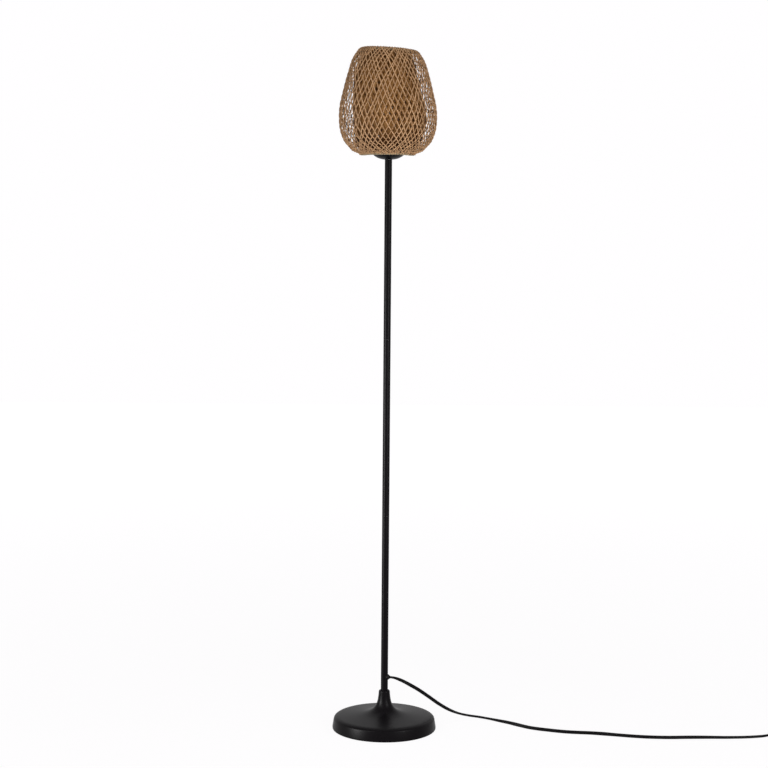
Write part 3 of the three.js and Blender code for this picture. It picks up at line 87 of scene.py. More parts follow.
# The flat flex from the bush to the foot switch, with its turn in degrees: 0 lies flat, and 90 is on edge
LEAD_ROUTE = [
    (24, -5.8, 115.4, 12),
    (38, -5.2, 110, 45),
    (55, -1, 100.2, 75),
    (77.7, 10.8, 84, 88),
    (100.4, 26.3, 64.6, 88),
    (123.3, 42.2, 44.4, 78),
    (146, 55.5, 27.8, 45),
    (169, 65.2, 16.2, 12),
    (192, 71.2, 9.6, 4),
    (216, 71.6, 6.2, 3),
    (239, 66, 3.8, 3),
    (260.4, 53.6, 3, 20),
    (282, 35.9, 3.6, 45),
    (303, 15.4, 4.1, 75),
    (324, -2.2, 4.1, 90),
    (345.5, -13.6, 4.1, 90),
    (367, -22, 4.1, 90),
    (388.5, -29.8, 4.1, 90),
    (410, -35.4, 4.1, 90),
    (432, -38.6, 4.1, 90),
    (454, -41, 4.1, 90),
    (476, -45, 4.1, 85),
    (497.5, -49.7, 3.9, 60),
    (519, -54.7, 3.65, 48),
    (540, -60, 3.65, 50),
    (561, -64.4, 3.65, 50),
    (583, -67.7, 3.65, 48),
    (626, -69.8, 3.65, 50),
    (671, -67, 3.65, 48),
    (715, -64.6, 3.25, 30),
    (759, -63.2, 2.85, 18),
    (804, -58.8, 2.75, 14),
    (838, -50.9, 2.85, 8),
]
TOUCH_GAP = 0.3
EXIT_HEIGHT = 116.5
EXIT_TURN = math.radians(-15)
BUSH_TIP = 12.5
SWITCH_Y = -48
SWITCH_FLEX_HEIGHT = 5

# The spare flex: two layers of turns on edge, in below and out above
COIL_X = 1008
COIL_OUTER_RADIUS = 50
COIL_PITCH = 6.5
COIL_TURNS = 4.5
COIL_LOWER = 5.1
COIL_UPPER = 13.8
COIL_CLIMB_SHARE = 0.4
COIL_STEPS_PER_TURN = 48

# The outer layer's outline as (radius, height), from the hoop at the foot to the one at the top
OUTER_OUTLINE = [
    (59.6, 1274), (61.4, 1276.4), (76.2, 1282.9), (84.5, 1291.6), (93.8, 1302.4), (102.9, 1326.2),
    (105.4, 1354), (103.8, 1378), (96.2, 1411.8), (87.5, 1445.7), (77.4, 1476.6), (69.5, 1489.3),
    (63.3, 1497.2), (57, 1499.6),
]
# The liner's outline as (radius, height)
INNER_OUTLINE = [
    (54, 1277.6), (62.5, 1286), (71, 1304), (77, 1332), (79, 1359), (78, 1380), (75, 1402), (67.5, 1445),
    (58, 1477), (50, 1499.4),
]
# How far the liner strays sideways in the shade, at some heights
INNER_STRAY = [(1277, 0), (1320, 3), (1359, 4.5), (1402, -1), (1445, -6), (1477, -5), (1500, -2)]
# How dark the faces of the liner's strips are painted at some heights, where 1 is as dark as their backs:
# painted shade, darkest at the foot and towards the top, where the liner lies in shade
INNER_PAINTED_SHADE = [(1277, 0.93), (1303, 0.88), (1326, 0.25), (1345, 0), (1440, 0), (1480, 0.35)]
# How steeply the strips cross, as sideways run over climb, at shares of the height
OUTER_SLANT_SHARES = [(0, 0.8), (0.12, 0.62), (0.3, 0.45), (0.6, 0.4), (0.85, 0.46), (1, 0.65)]
INNER_SLANT_SHARES = [(0, 0.7), (0.25, 0.5), (0.6, 0.45), (1, 0.6)]
# How the hand-made shade strays from upright
SHADE_LEAN = (-2.6, -0.5)  # sideways at the foot and at the top
SHADE_TILT = 3.4  # how far the top dips to the right of its middle
SHADE_BACK_RISE = 4.6  # how far the back of the foot rises
SHADE_REACH = 60  # the radius at which the tilt and the rise are that much
SHADE_FADE = (26, 48)  # radii between which they begin, clear of the lamp holder


class ShadeSettings(bpy.types.PropertyGroup):
    """Sizes and colours of the woven shade"""

    strips: bpy.props.IntProperty(
        name="Strips", description="Strips that run each way round the outer layer", default=58, min=12,
        max=90)
    strip_width: bpy.props.FloatProperty(
        name="Strip width", description="Width of a strip of the outer layer", default=2.35 * MM,
        unit="LENGTH")
    strip_thickness: bpy.props.FloatProperty(
        name="Strip thickness", description="Thickness of a half-round outer strip", default=1.5 * MM,
        unit="LENGTH")
    liner_strips: bpy.props.IntProperty(
        name="Liner strips", description="Strips that run each way round the liner", default=40, min=12,
        max=90)
    liner_width: bpy.props.FloatProperty(
        name="Liner strip width", description="Width of a strip of the liner", default=10.6 * MM,
        unit="LENGTH")
    liner_thickness: bpy.props.FloatProperty(
        name="Liner strip thickness", description="Thickness of a flat strip of the liner", default=0.8 * MM,
        unit="LENGTH")
    wander: bpy.props.FloatProperty(
        name="Wander", description="How far hand-laid strips stray from an even weave", default=2.4 * MM,
        unit="LENGTH")
    rattan: bpy.props.FloatVectorProperty(
        name="Rattan", description="Colour of the light strips", subtype="COLOR", size=4,
        default=(0.63, 0.375, 0.2, 1))
    rattan_dark: bpy.props.FloatVectorProperty(
        name="Darker rattan", description="Colour of the darker strips and grain", subtype="COLOR", size=4,
        default=(0.33, 0.175, 0.08, 1))
    hoop: bpy.props.FloatVectorProperty(
        name="Hoops", description="Colour of the hoops and their bindings", subtype="COLOR", size=4,
        default=(0.44, 0.35, 0.225, 1))
    hoop_dark: bpy.props.FloatVectorProperty(
        name="Darker hoops", description="Colour of the darker grain of the hoops", subtype="COLOR", size=4,
        default=(0.32, 0.235, 0.135, 1))
    # The liner's colours are darker than the outer strips': partly a browner tone of their own, partly
    # painted shade for the liner lying inside the outer layer
    liner: bpy.props.FloatVectorProperty(
        name="Liner", description="Colour of the liner's strips", subtype="COLOR", size=4,
        default=(0.38, 0.185, 0.062, 1))
    liner_dark: bpy.props.FloatVectorProperty(
        name="Darker liner", description="Colour of the liner's darker strips and grain", subtype="COLOR",
        size=4, default=(0.2, 0.085, 0.022, 1))
    # The backs are near black: partly the duller back of split rattan, partly painted shade for the inside of
    # the shade's layers
    back: bpy.props.FloatVectorProperty(
        name="Backs", description="Colour of the rough backs of the strips", subtype="COLOR", size=4,
        default=(0.045, 0.014, 0.003, 1))


class MetalSettings(bpy.types.PropertyGroup):
    """Finish of the black steel"""

    coat: bpy.props.FloatVectorProperty(
        name="Coat", description="Colour of the black powder coat", subtype="COLOR", size=4,
        default=(0.0035, 0.0026, 0.0035, 1))
    roughness: bpy.props.FloatProperty(
        name="Roughness", description="Roughness of the powder coat", default=0.38, subtype="FACTOR")


class FlexSettings(bpy.types.PropertyGroup):
    """Size and colour of the flat twin flex"""

    width: bpy.props.FloatProperty(
        name="Width", description="Width of the flat flex", default=FLEX_WIDTH * MM, unit="LENGTH")
    thickness: bpy.props.FloatProperty(
        name="Thickness", description="Thickness of the flat flex", default=FLEX_THICKNESS * MM,
        unit="LENGTH")
    sheath: bpy.props.FloatVectorProperty(
        name="Sheath", description="Colour of the sheath", subtype="COLOR", size=4,
        default=(0.003, 0.0026, 0.003, 1))


class StageSettings(bpy.types.PropertyGroup):
    """Floor, backdrop and light"""

    floor_size: bpy.props.FloatProperty(
        name="Floor size", description="Side of the square floor", default=14.0, unit="LENGTH")
    backdrop: bpy.props.FloatVectorProperty(
        name="Backdrop", description="Colour of the floor and backdrop", subtype="COLOR", size=4,
        default=(1, 0.992, 1, 1))
    key_power: bpy.props.FloatProperty(
        name="Key light", description="Power of the light at the front left", default=36.0, unit="POWER")
    fill_power: bpy.props.FloatProperty(
        name="Fill light", description="Power of the light at the front right", default=22.0, unit="POWER")
    top_power: bpy.props.FloatProperty(
        name="Top light", description="Power of the light above", default=9.0, unit="POWER")
    low_power: bpy.props.FloatProperty(
        name="Low light", description="Power of the light low in front", default=32.0, unit="POWER")
    left_sheen: bpy.props.FloatProperty(
        name="Left sheen", description="Power of the tall light that shows in the metal's left side",
        default=85.0, unit="POWER")
    right_sheen: bpy.props.FloatProperty(
        name="Right sheen", description="Power of the tall light that shows in the metal's right side",
        default=25.0, unit="POWER")


# Modelling helpers

def clear_selection():
    if bpy.context.object and bpy.context.object.mode != "OBJECT":
        bpy.ops.object.mode_set(mode="OBJECT")
    bpy.ops.object.select_all(action="DESELECT")


def choose(piece):
    clear_selection()
    piece.select_set(True)
    bpy.context.view_layer.objects.active = piece


def named(name):
    """Names the piece that was just added, and puts its place in its mesh."""
    piece = bpy.context.object
    piece.name = name
    piece.data.name = name
    bpy.ops.object.transform_apply(location=True, rotation=True, scale=True)
    return piece


def apply_modifier(piece, kind, **settings):
    choose(piece)
    bpy.ops.object.modifier_add(type=kind)
    modifier = piece.modifiers[-1]
    for key, value in settings.items():
        setattr(modifier, key, value)
    bpy.ops.object.modifier_apply(modifier=modifier.name)


def soften(piece, width, segments=2, angle=35):
    """Rounds the piece's hard edges."""
    apply_modifier(
        piece, "BEVEL", width=width, segments=segments, limit_method="ANGLE", angle_limit=math.radians(angle))


def smooth(piece, angle=40):
    choose(piece)
    bpy.ops.object.shade_smooth_by_angle(angle=math.radians(angle))


def edit(piece):
    choose(piece)
    bpy.ops.object.mode_set(mode="EDIT")
    bpy.ops.mesh.select_all(action="DESELECT")
    return bmesh.from_edit_mesh(piece.data)


def select_where(mesh, parts, test):
    """Selects only the faces or edges of an edited mesh that pass a test."""
    bpy.ops.mesh.select_all(action="DESELECT")
    for part in [part for part in parts if test(part)]:
        part.select_set(True)
    bmesh.update_edit_mesh(mesh)


def finish_edit():
    bpy.ops.mesh.select_all(action="SELECT")
    bpy.ops.mesh.remove_doubles(threshold=0.01 * MM)
    bpy.ops.mesh.normals_make_consistent(inside=False)
    bpy.ops.object.mode_set(mode="OBJECT")


def extrude_along_x(x, reach, wide, tall, middle):
    """Draws the selected face out from x, changes its size about its middle, and gives its new x."""
    bpy.ops.mesh.extrude_region_move(TRANSFORM_OT_translate={"value": (reach, 0, 0)})
    bpy.ops.transform.resize(value=(1, wide, tall), center_override=(x + reach, middle.y, middle.z))
    return x + reach


def turned(name, profile, sides=TURN_SIDES, closed_foot=False):
    """A piece turned round the Z axis: a ring of edges is extruded from each (radius, height) to the next."""
    radius, height = profile[0]
    clear_selection()
    bpy.ops.mesh.primitive_circle_add(
        vertices=sides, radius=radius, fill_type="TRIFAN" if closed_foot else "NOTHING",
        location=(0, 0, height))
    piece = named(name)
    bpy.ops.object.mode_set(mode="EDIT")
    bpy.ops.mesh.select_all(action="SELECT")
    if closed_foot:
        bpy.ops.mesh.region_to_loop()
    for (r0, z0), (r1, z1) in zip(profile, profile[1:]):
        bpy.ops.mesh.extrude_edges_move(TRANSFORM_OT_translate={"value": (0, 0, z1 - z0)})
        if r1 > 0:
            share = r1 / r0
            bpy.ops.transform.resize(value=(share, share, 1), center_override=(0, 0, z1))
        else:
            bpy.ops.mesh.merge(type="CENTER")
    finish_edit()
    return piece


def rectangle(inner, outer, low, high):
    """The closed profile of a ring with a rectangular section."""
    return [(inner, low), (outer, low), (outer, high), (inner, high), (inner, low)]


def walled(outer, wall):
    """Closes an open outline into a wall of even thickness on its left-hand side."""
    points = [Vector(p) for p in outer]
    inner = []
    for i, point in enumerate(points):
        arriving = (point - points[i - 1]).normalized() if i else (points[1] - point).normalized()
        leaving = (points[i + 1] - point).normalized() if i + 1 < len(points) else arriving
        along = (arriving + leaving).normalized()
        mitre = wall / max(along.dot(arriving), 0.5)
        inner.append(point + mitre * Vector((-along.y, along.x)))
    return [tuple(p) for p in points + inner[::-1] + points[:1]]


def quadratic(start, control, end, steps):
    points = []
    for i in range(1, steps + 1):
        t = i / steps
        points.append(tuple(
            (1 - t) ** 2 * a + 2 * t * (1 - t) * b + t ** 2 * c for a, b, c in zip(start, control, end)))
    return points


def ease(t):
    """From 0 to 1, with a slow start and end."""
    return t * t * (3 - 2 * t)


def spline(points, per_span):
    """A smooth path through points: a centripetal Catmull-Rom curve."""
    points = [np.array(p, float) for p in points]
    ghosts = [2 * points[0] - points[1]] + points + [2 * points[-1] - points[-2]]
    path = []
    for i in range(1, len(ghosts) - 2):
        p0, p1, p2, p3 = ghosts[i - 1:i + 3]
        t1 = np.linalg.norm((p1 - p0)[:3]) ** 0.5
        t2 = t1 + np.linalg.norm((p2 - p1)[:3]) ** 0.5
        t3 = t2 + np.linalg.norm((p3 - p2)[:3]) ** 0.5
        for k in range(per_span):
            t = t1 + (t2 - t1) * k / per_span
            a1 = (t1 - t) / t1 * p0 + t / t1 * p1
            a2 = (t2 - t) / (t2 - t1) * p1 + (t - t1) / (t2 - t1) * p2
            a3 = (t3 - t) / (t3 - t2) * p2 + (t - t2) / (t3 - t2) * p3
            b1 = (t2 - t) / t2 * a1 + t / t2 * a2
            b2 = (t3 - t) / (t3 - t1) * a2 + (t - t1) / (t3 - t1) * a3
            path.append((t2 - t) / (t2 - t1) * b1 + (t - t1) / (t2 - t1) * b2)
    path.append(points[-1])
    return np.array(path)


def unit(vectors):
    return vectors / np.linalg.norm(vectors, axis=1)[:, None]


def tube_faces(rings, count, first=0, closed=False):
    """The faces between rings of count points each: a closed loop of them, or a run with an end face each."""
    faces = []
    for ring in range(rings if closed else rings - 1):
        here, after = first + ring * count, first + (ring + 1) % rings * count
        for i in range(count):
            j = (i + 1) % count
            faces.append((here + i, here + j, after + j, after + i))
    if not closed:
        last = first + (rings - 1) * count
        faces.append(tuple(reversed(range(first, first + count))))
        faces.append(tuple(range(last, last + count)))
    return faces


def mesh_piece(name, points, faces):
    mesh = bpy.data.meshes.new(name)
    mesh.from_pydata([tuple(p) for p in points], [], faces)
    piece = bpy.data.objects.new(name, mesh)
    bpy.context.scene.collection.objects.link(piece)
    return piece


def pattern_strip(mesh, uvs, **shares):
    """Gives each point its place along and across its strip, and its share of each named shade."""
    corner_points = np.empty(len(mesh.loops), int)
    mesh.loops.foreach_get("vertex_index", corner_points)
    mesh.uv_layers.new(name="strip").data.foreach_set("uv", np.array(uvs)[corner_points].ravel())
    for name, values in shares.items():
        mesh.attributes.new(name, "FLOAT", "POINT").data.foreach_set("value", values)


def settle(piece, body, slot, material, *nodes):
    """Gives a piece its finish, its body, and the nodes that it stands for."""
    piece.data.materials.clear()
    piece.data.materials.append(material)
    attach(piece, body)
    if nodes:
        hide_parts(*nodes)
    return piece


# Materials

def set_sockets(tree, node, sockets):
    """Gives each named or numbered input a constant, or a link from another node's output."""
    for socket, value in sockets.items():
        if isinstance(value, bpy.types.NodeSocket):
            tree.links.new(value, node.inputs[socket])
        else:
            node.inputs[socket].default_value = value


def add_node(tree, kind, sockets=None, **settings):
    node = tree.nodes.new(kind)
    for key, value in settings.items():
        setattr(node, key, value)
    set_sockets(tree, node, sockets or {})
    return node


def blend_colours(tree, first, second, factor):
    sockets = {"A": first, "B": second, "Factor": factor}
    return add_node(tree, "ShaderNodeMix", sockets, data_type="RGBA").outputs["Result"]


def spread_over(tree, value, low, high):
    sockets = {"To Min": low, "To Max": high, "Value": value}
    return add_node(tree, "ShaderNodeMapRange", sockets).outputs["Result"]


def raise_surface(tree, height, strength, distance):
    sockets = {"Strength": strength, "Distance": distance, "Height": height}
    return add_node(tree, "ShaderNodeBump", sockets).outputs["Normal"]


def combine(tree, operation, a, b):
    return add_node(tree, "ShaderNodeMath", {0: a, 1: b}, operation=operation).outputs["Value"]


def new_material(name):
    """A material with only its output and shader, as (material, tree, shader)."""
    material = bpy.data.materials.new(name)
    material.use_nodes = True
    return material, material.node_tree, material.node_tree.nodes["Principled BSDF"]


def darker(colour, share):
    return tuple(share * c for c in colour[:3]) + (1,)


GRAIN_DETAIL = 4
GRAIN_BUMP = 0.6
GRAIN_SPREAD = 0.08  # how far the roughness strays


def grained(name, light, dark, roughness, scale, bump_mm, metallic=0.0, specular=0.5):
    """A plain finish with a fine noise in its colour, its roughness and its surface."""
    if name in bpy.data.materials:
        return bpy.data.materials[name]
    material, tree, shader = new_material(name)
    place = add_node(tree, "ShaderNodeTexCoord").outputs["Object"]
    grain = add_node(
        tree, "ShaderNodeTexNoise", {"Scale": scale, "Detail": GRAIN_DETAIL, "Vector": place}).outputs["Fac"]
    set_sockets(tree, shader, {
        "Metallic": metallic,
        "Specular IOR Level": specular,
        "Base Color": blend_colours(tree, light, dark, grain),
        "Roughness": spread_over(tree, grain, roughness - GRAIN_SPREAD, roughness + GRAIN_SPREAD),
        "Normal": raise_surface(tree, grain, GRAIN_BUMP, bump_mm * MM),
    })
    return material


def black_coat():
    """Satin black powder coat with a very fine grain."""
    metal = bpy.context.scene.lamp_metal
    coat = tuple(metal.coat)
    return grained(
        "black_powder_coat", coat, darker(coat, 0.75), metal.roughness, 900, 0.04, specular=0.052)


def black_plastic():
    return grained(
        "moulded_black", (0.005, 0.0045, 0.005, 1), (0.003, 0.0026, 0.003, 1), 0.45, 1500, 0.02,
        specular=0.12)


def flex_sheath():
    sheath = tuple(bpy.context.scene.lamp_flex.sheath)
    return grained("soft_sheath", sheath, darker(sheath, 0.7), 0.5, 700, 0.03, specular=0.06)


def zinc_plate():
    return grained(
        "zinc_plate", (0.55, 0.56, 0.55, 1), (0.42, 0.43, 0.44, 1), 0.34, 400, 0.01, metallic=1.0)


def brass_plate():
    return grained(
        "brass_plate", (0.65, 0.45, 0.16, 1), (0.5, 0.33, 0.1, 1), 0.3, 400, 0.01, metallic=1.0)


def cast_iron():
    return grained(
        "cast_iron", (0.05, 0.047, 0.044, 1), (0.025, 0.023, 0.021, 1), 0.75, 350, 0.25, metallic=0.5)


def pale_ceramic():
    return grained("pale_ceramic", (0.78, 0.75, 0.68, 1), (0.7, 0.67, 0.6, 1), 0.3, 300, 0.02)


def felt():
    return grained("felt_pad", (0.018, 0.018, 0.018, 1), (0.008, 0.008, 0.008, 1), 0.95, 1200, 0.3)


def opal_glass():
    """White opal glass: light goes a little way in and is scattered."""
    material = grained("opal_white", (0.86, 0.85, 0.81, 1), (0.82, 0.81, 0.77, 1), 0.2, 120, 0.005)
    shader = material.node_tree.nodes["Principled BSDF"]
    shader.inputs["Subsurface Weight"].default_value = 0.4
    shader.inputs["Subsurface Radius"].default_value = (0.004, 0.004, 0.003)
    return material


# A noise on split rattan as (scale along the strip, scale across it, detail)
FIBRES = (60, 9000, 3)
BLOTCHES = (28, 300, 2)
FIBRE_SHARE = 0.45
BLOTCH_SHARE = 0.9
EVEN_TONE = 0.42  # what is taken off the two, so that a strip's own tone starts from its light colour
RATTAN_SPECULAR = 0.05
RATTAN_ROUGHNESS = (0.42, 0.68)
RATTAN_BUMP = 0.5
RATTAN_BUMP_DEPTH = 0.08


def split_rattan(name, light, dark):
    """Split rattan: long fibres and slow changes of colour along each strip, a tone of its own for each,
    and a darker back. The back's mix also carries painted shade: on the backs themselves, on the strips'
    edges and on the liner's faces at some heights.
    """
    if name in bpy.data.materials:
        return bpy.data.materials[name]
    material, tree, shader = new_material(name)
    uv = add_node(tree, "ShaderNodeUVMap", uv_map="strip").outputs["UV"]
    tone = add_node(tree, "ShaderNodeAttribute", attribute_name="tone").outputs["Fac"]
    # The back attribute mixes in the back colour: the duller back, deepened as painted shade, and painted
    # shade on edges and liner faces
    back_and_painted_shade = add_node(tree, "ShaderNodeAttribute", attribute_name="back").outputs["Fac"]

    def noise(along, across, detail):
        stretched = add_node(
            tree, "ShaderNodeMapping", {"Scale": (along, across, 1), "Vector": uv}).outputs["Vector"]
        sockets = {"Scale": 1, "Detail": detail, "Vector": stretched}
        return add_node(tree, "ShaderNodeTexNoise", sockets).outputs["Fac"]

    fibres = noise(*FIBRES)
    mixed = combine(
        tree, "ADD", combine(tree, "MULTIPLY", fibres, FIBRE_SHARE),
        combine(tree, "MULTIPLY", noise(*BLOTCHES), BLOTCH_SHARE))
    shade = combine(tree, "ADD", combine(tree, "SUBTRACT", mixed, EVEN_TONE), tone)
    tint = blend_colours(tree, light, dark, shade)
    set_sockets(tree, shader, {
        "Specular IOR Level": RATTAN_SPECULAR,
        "Base Color": blend_colours(tree, tint, tuple(bpy.context.scene.lamp_shade.back), back_and_painted_shade),
        "Roughness": spread_over(tree, fibres, *RATTAN_ROUGHNESS),
        "Normal": raise_surface(tree, fibres, RATTAN_BUMP, RATTAN_BUMP_DEPTH * MM),
    })
    return material


# The flat flex

def flex_section(width, thickness):
    """The flex's section: two round cores side by side under one sheath, with a shallow groove between."""
    core = thickness / 2
    offset = width / 2 - core
    half = []
    for degrees in (-90, -45, 0, 45, 90):
        a = math.radians(degrees)
        half.append((offset + core * math.cos(a), core * math.sin(a)))
    half.append((0.25 * offset, 0.8 * core))
    return half + [(-x, -y) for x, y in half]


def flex_mesh(name, path, wide_ways, section):
    """A flat flex as a mesh that follows a path, with the way its wide side lies at each point."""
    tangents = unit(np.gradient(path, axis=0))
    wide = unit(wide_ways - tangents * np.sum(wide_ways * tangents, axis=1)[:, None])
    thin = np.cross(tangents, wide)
    points = []
    for p, w, t in zip(path, wide, thin):
        points += [p + x * w + y * t for x, y in section]
    piece = mesh_piece(name, points, tube_faces(len(path), len(section)))
    edit(piece)
    finish_edit()
    smooth(piece, 60)
    return piece


def turned_flat(path, degrees):
    """The way the wide side lies for a flex turned by so many degrees about its own run."""
    tangents = unit(np.gradient(path, axis=0))
    level = unit(np.cross((0, 0, 1), tangents))
    rise = np.cross(tangents, level)
    a = np.radians(degrees)[:, None]
    return level * np.cos(a) + rise * np.sin(a)


def lead_route():
    """From the bush on the pole, along the floor and into the foot switch."""
    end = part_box("switch_boot_in")[0].x / MM - TOUCH_GAP
    start = BUSH_TIP + TOUCH_GAP
    return [
        *((r * math.cos(EXIT_TURN), r * math.sin(EXIT_TURN), EXIT_HEIGHT, 0)
          for r in (start, start + FLEX_THICKNESS)),
        *LEAD_ROUTE,
        (end - 2 * FLEX_WIDTH, SWITCH_Y - TOUCH_GAP, FLEX_THICKNESS, 0),
        (end, SWITCH_Y, SWITCH_FLEX_HEIGHT, 0),
    ]


def coil_route():
    """From the switch into the coil, round it, and out to the plug."""
    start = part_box("switch_boot_out")[1].x / MM + TOUCH_GAP
    coil_y = SWITCH_Y + COIL_OUTER_RADIUS
    leave_y = coil_y + COIL_OUTER_RADIUS
    plug_low, plug_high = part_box("plug_body")
    neck = plug_high.x / MM + TOUCH_GAP
    plug_height = (plug_low.z + plug_high.z) / 2 / MM
    coil_start = COIL_X - FLEX_WIDTH
    rows = [
        (start, SWITCH_Y, SWITCH_FLEX_HEIGHT, 0),
        (start + FLEX_WIDTH, SWITCH_Y, SWITCH_FLEX_HEIGHT, 15),
        ((start + coil_start) / 2, SWITCH_Y, (SWITCH_FLEX_HEIGHT + COIL_LOWER) / 2, 45),
        (coil_start - FLEX_WIDTH, SWITCH_Y, COIL_LOWER, 80),
        (coil_start, SWITCH_Y, COIL_LOWER, 90),
    ]
    middle = COIL_TURNS / 2
    least = COIL_OUTER_RADIUS - COIL_PITCH * middle
    for i in range(int(COIL_TURNS * COIL_STEPS_PER_TURN) + 1):
        turn = i / COIL_STEPS_PER_TURN
        radius = least + COIL_PITCH * abs(turn - middle)
        angle = -TURN / 4 + turn * TURN
        climb = ease(min(max((turn - middle) / COIL_CLIMB_SHARE + 0.5, 0), 1))
        height = COIL_LOWER + (COIL_UPPER - COIL_LOWER) * climb
        rows.append((COIL_X + radius * math.cos(angle), coil_y + radius * math.sin(angle), height, 90))
    rows += [
        (coil_start, leave_y, COIL_UPPER, 90),
        (coil_start - FLEX_WIDTH, leave_y, COIL_UPPER, 75),
        ((coil_start + neck) / 2, leave_y, (COIL_UPPER + plug_height) / 2, 45),
        (neck + FLEX_THICKNESS, leave_y, plug_height, 10),
        (neck, leave_y, plug_height, 0),
    ]
    return rows


def make_flex(name, rows, per_span, nodes):
    flex = bpy.context.scene.lamp_flex
    fine = spline(rows, per_span)
    path = fine[:, :3] * MM
    piece = flex_mesh(name, path, turned_flat(path, fine[:, 3]), flex_section(flex.width, flex.thickness))
    settle(piece, LAMP_BODY, "flex_sheath", flex_sheath(), *nodes)
    return piece


# The woven layers. A strip's section has its back at -0.5 and its face at 0.5.

FLAT_SECTION = [(-0.5, -0.5), (0.5, -0.5), (0.5, 0.1), (0.2, 0.5), (-0.2, 0.5), (-0.5, 0.1)]
HALF_ROUND_SECTION = [
    (-0.36, -0.5), (0.36, -0.5), (0.5, -0.2), (0.46, 0.15), (0.25, 0.44), (-0.25, 0.44), (-0.46, 0.15),
    (-0.5, -0.2),
]
# Points of a section below the first limit take the back colour; points below the second, along the strip's
# edges, take painted shade
BACK_BELOW = -0.4
SHADED_EDGE_BELOW = 0.2
OUTLINE_STEPS = 16
COURSE_STEPS = 400
STEPS_PER_CROSSING = 3.5
CROSSING_GAP = 0.1  # what is left between two strips that cross, and as much again
# How unevenly the strips are laid
WAVES = 6  # slow waves that both families share
WAVE_SHARE = 0.35  # of the wander, as the shares below
STRAY_SHARE = 0.55
SWAYS = 2  # quicker waves of a strip's own
SWAY_SHARE = 0.3
WIDTH_SPREAD = (0.82, 1.15)
TONE_SPREAD = 0.22
HELD_END = 0.04  # the share of the way next to a hoop over which a strip is held to its place
HELD_SHARE = 0.3
GRAIN_REACH = 50  # how far apart along the noise two strips may start
GRAIN_STEP = 0.013  # and how far apart across it


def strip_course(outline, slants, strips, thickness):
    """An even strip's way from the foot of a turned surface to its top, with equal turns between its points.

    At each point it gives the turn so far, the share of the way, the radius and height, the outward
    direction, the lift over or under the crossing strips, and the room that the neighbours leave.
    """
    fine = spline([(r, z, 0) for r, z in outline], OUTLINE_STEPS)[:, :2]
    along = np.concatenate([[0], np.cumsum(np.linalg.norm(np.diff(fine, axis=0), axis=1))])
    spacing = TURN / strips
    places = np.linspace(0, along[-1], COURSE_STEPS)
    radii = np.interp(places, along, fine[:, 0])
    heights = np.interp(places, along, fine[:, 1])
    slant = np.interp((heights - heights[0]) / (heights[-1] - heights[0]), *zip(*slants))
    round_by = np.concatenate([[0], np.cumsum((slant / radii)[1:] * np.diff(places))])
    crossings = round_by[-1] / (spacing / 2)
    rounds = np.linspace(0, round_by[-1], int(crossings * STEPS_PER_CROSSING))
    place = np.interp(rounds, round_by, places)
    radius = np.interp(place, along, fine[:, 0])
    height = np.interp(place, along, fine[:, 1])
    outward = unit(np.stack([np.gradient(height), -np.gradient(radius)], axis=1))
    lift = (thickness / 2 + CROSSING_GAP * MM) * np.cos(TURN / 2 * rounds / (spacing / 2))
    room = radius * spacing / np.hypot(1, np.interp(place, places, slant))
    return rounds, place / along[-1], radius, height, outward, lift, room


def woven_layer(
        name, outline, slants, strips, width, thickness, section, wander, seed, edge, back, cover,
        painted_shade_heights=((0, 0),)):
    """Strips that cross over and under each other on a turned surface, both ways round.

    A strip is never wider than a share, cover, of the room that its neighbours leave it. Its back is as dark
    as back says: the duller back of split rattan, deepened as painted shade for the inside of the shade.
    Its edges are darkened as painted shade by edge, and its face at some heights by the table in the last
    argument, also painted shade.
    """
    draw = random.Random(seed)
    rounds, share, radius, height, outward, lift, room = strip_course(
        [(r * MM, z * MM) for r, z in outline], slants, strips, thickness)
    waves = [(draw.randint(1, 5), draw.uniform(0, TURN), draw.uniform(0.5, 2.5), draw.uniform(0, TURN))
             for _ in range(WAVES)]
    painted_shade_by_height = np.interp(height / MM, *zip(*painted_shade_heights))
    samples, count = len(rounds), len(section)
    points, faces, uvs, tones, backs = [], [], [], [], []
    for way in (1, -1):
        for index in range(strips):
            shift = np.full(samples, draw.gauss(0, STRAY_SHARE) * wander)
            own = [(draw.uniform(3, 9), draw.uniform(0, TURN), draw.gauss(0, SWAY_SHARE) * wander)
                   for _ in range(SWAYS)]
            broad = width * draw.uniform(*WIDTH_SPREAD)
            tone = draw.gauss(0, TONE_SPREAD)
            angle = index * TURN / strips + way * rounds
            for number, phase, rise, turn in waves:
                wave = np.sin(number * angle + phase) * np.sin(rise * math.pi * share + turn)
                shift = shift + WAVE_SHARE * wander * wave
            for rate, phase, size in own:
                shift = shift + size * np.sin(rate * math.pi * share + phase)
            shift = shift * np.minimum(1, np.minimum(share, 1 - share) / HELD_END + HELD_SHARE)
            angle = angle + shift / radius
            level = way * lift
            r = radius + outward[:, 0] * level
            path = np.stack([r * np.cos(angle), r * np.sin(angle), height + outward[:, 1] * level], axis=1)
            normal = np.stack(
                [outward[:, 0] * np.cos(angle), outward[:, 0] * np.sin(angle), outward[:, 1]], axis=1)
            across = unit(np.cross(normal, unit(np.gradient(path, axis=0))))
            faces += tube_faces(samples, count, first=len(points))
            run = np.concatenate([[0], np.cumsum(np.linalg.norm(np.diff(path, axis=0), axis=1))])
            run += draw.uniform(0, GRAIN_REACH)
            widths = np.minimum(broad, cover * room)
            for p, n, a, u, w, painted_shade_here in zip(path, normal, across, run, widths, painted_shade_by_height):
                for x, y in section:
                    points.append(p + a * (x * w) + n * (y * thickness))
                    uvs.append((u, x * w + index * GRAIN_STEP))
                    tones.append(tone)
                    # Backs take the back colour, partly painted shade; other points take painted shade by
                    # height, or along the edges
                    backs.append(back if y < BACK_BELOW else max(painted_shade_here, edge if y < SHADED_EDGE_BELOW else 0))
    piece = mesh_piece(name, points, faces)
    pattern_strip(piece.data, uvs, tone=tones, back=backs)
    smooth(piece)
    return piece


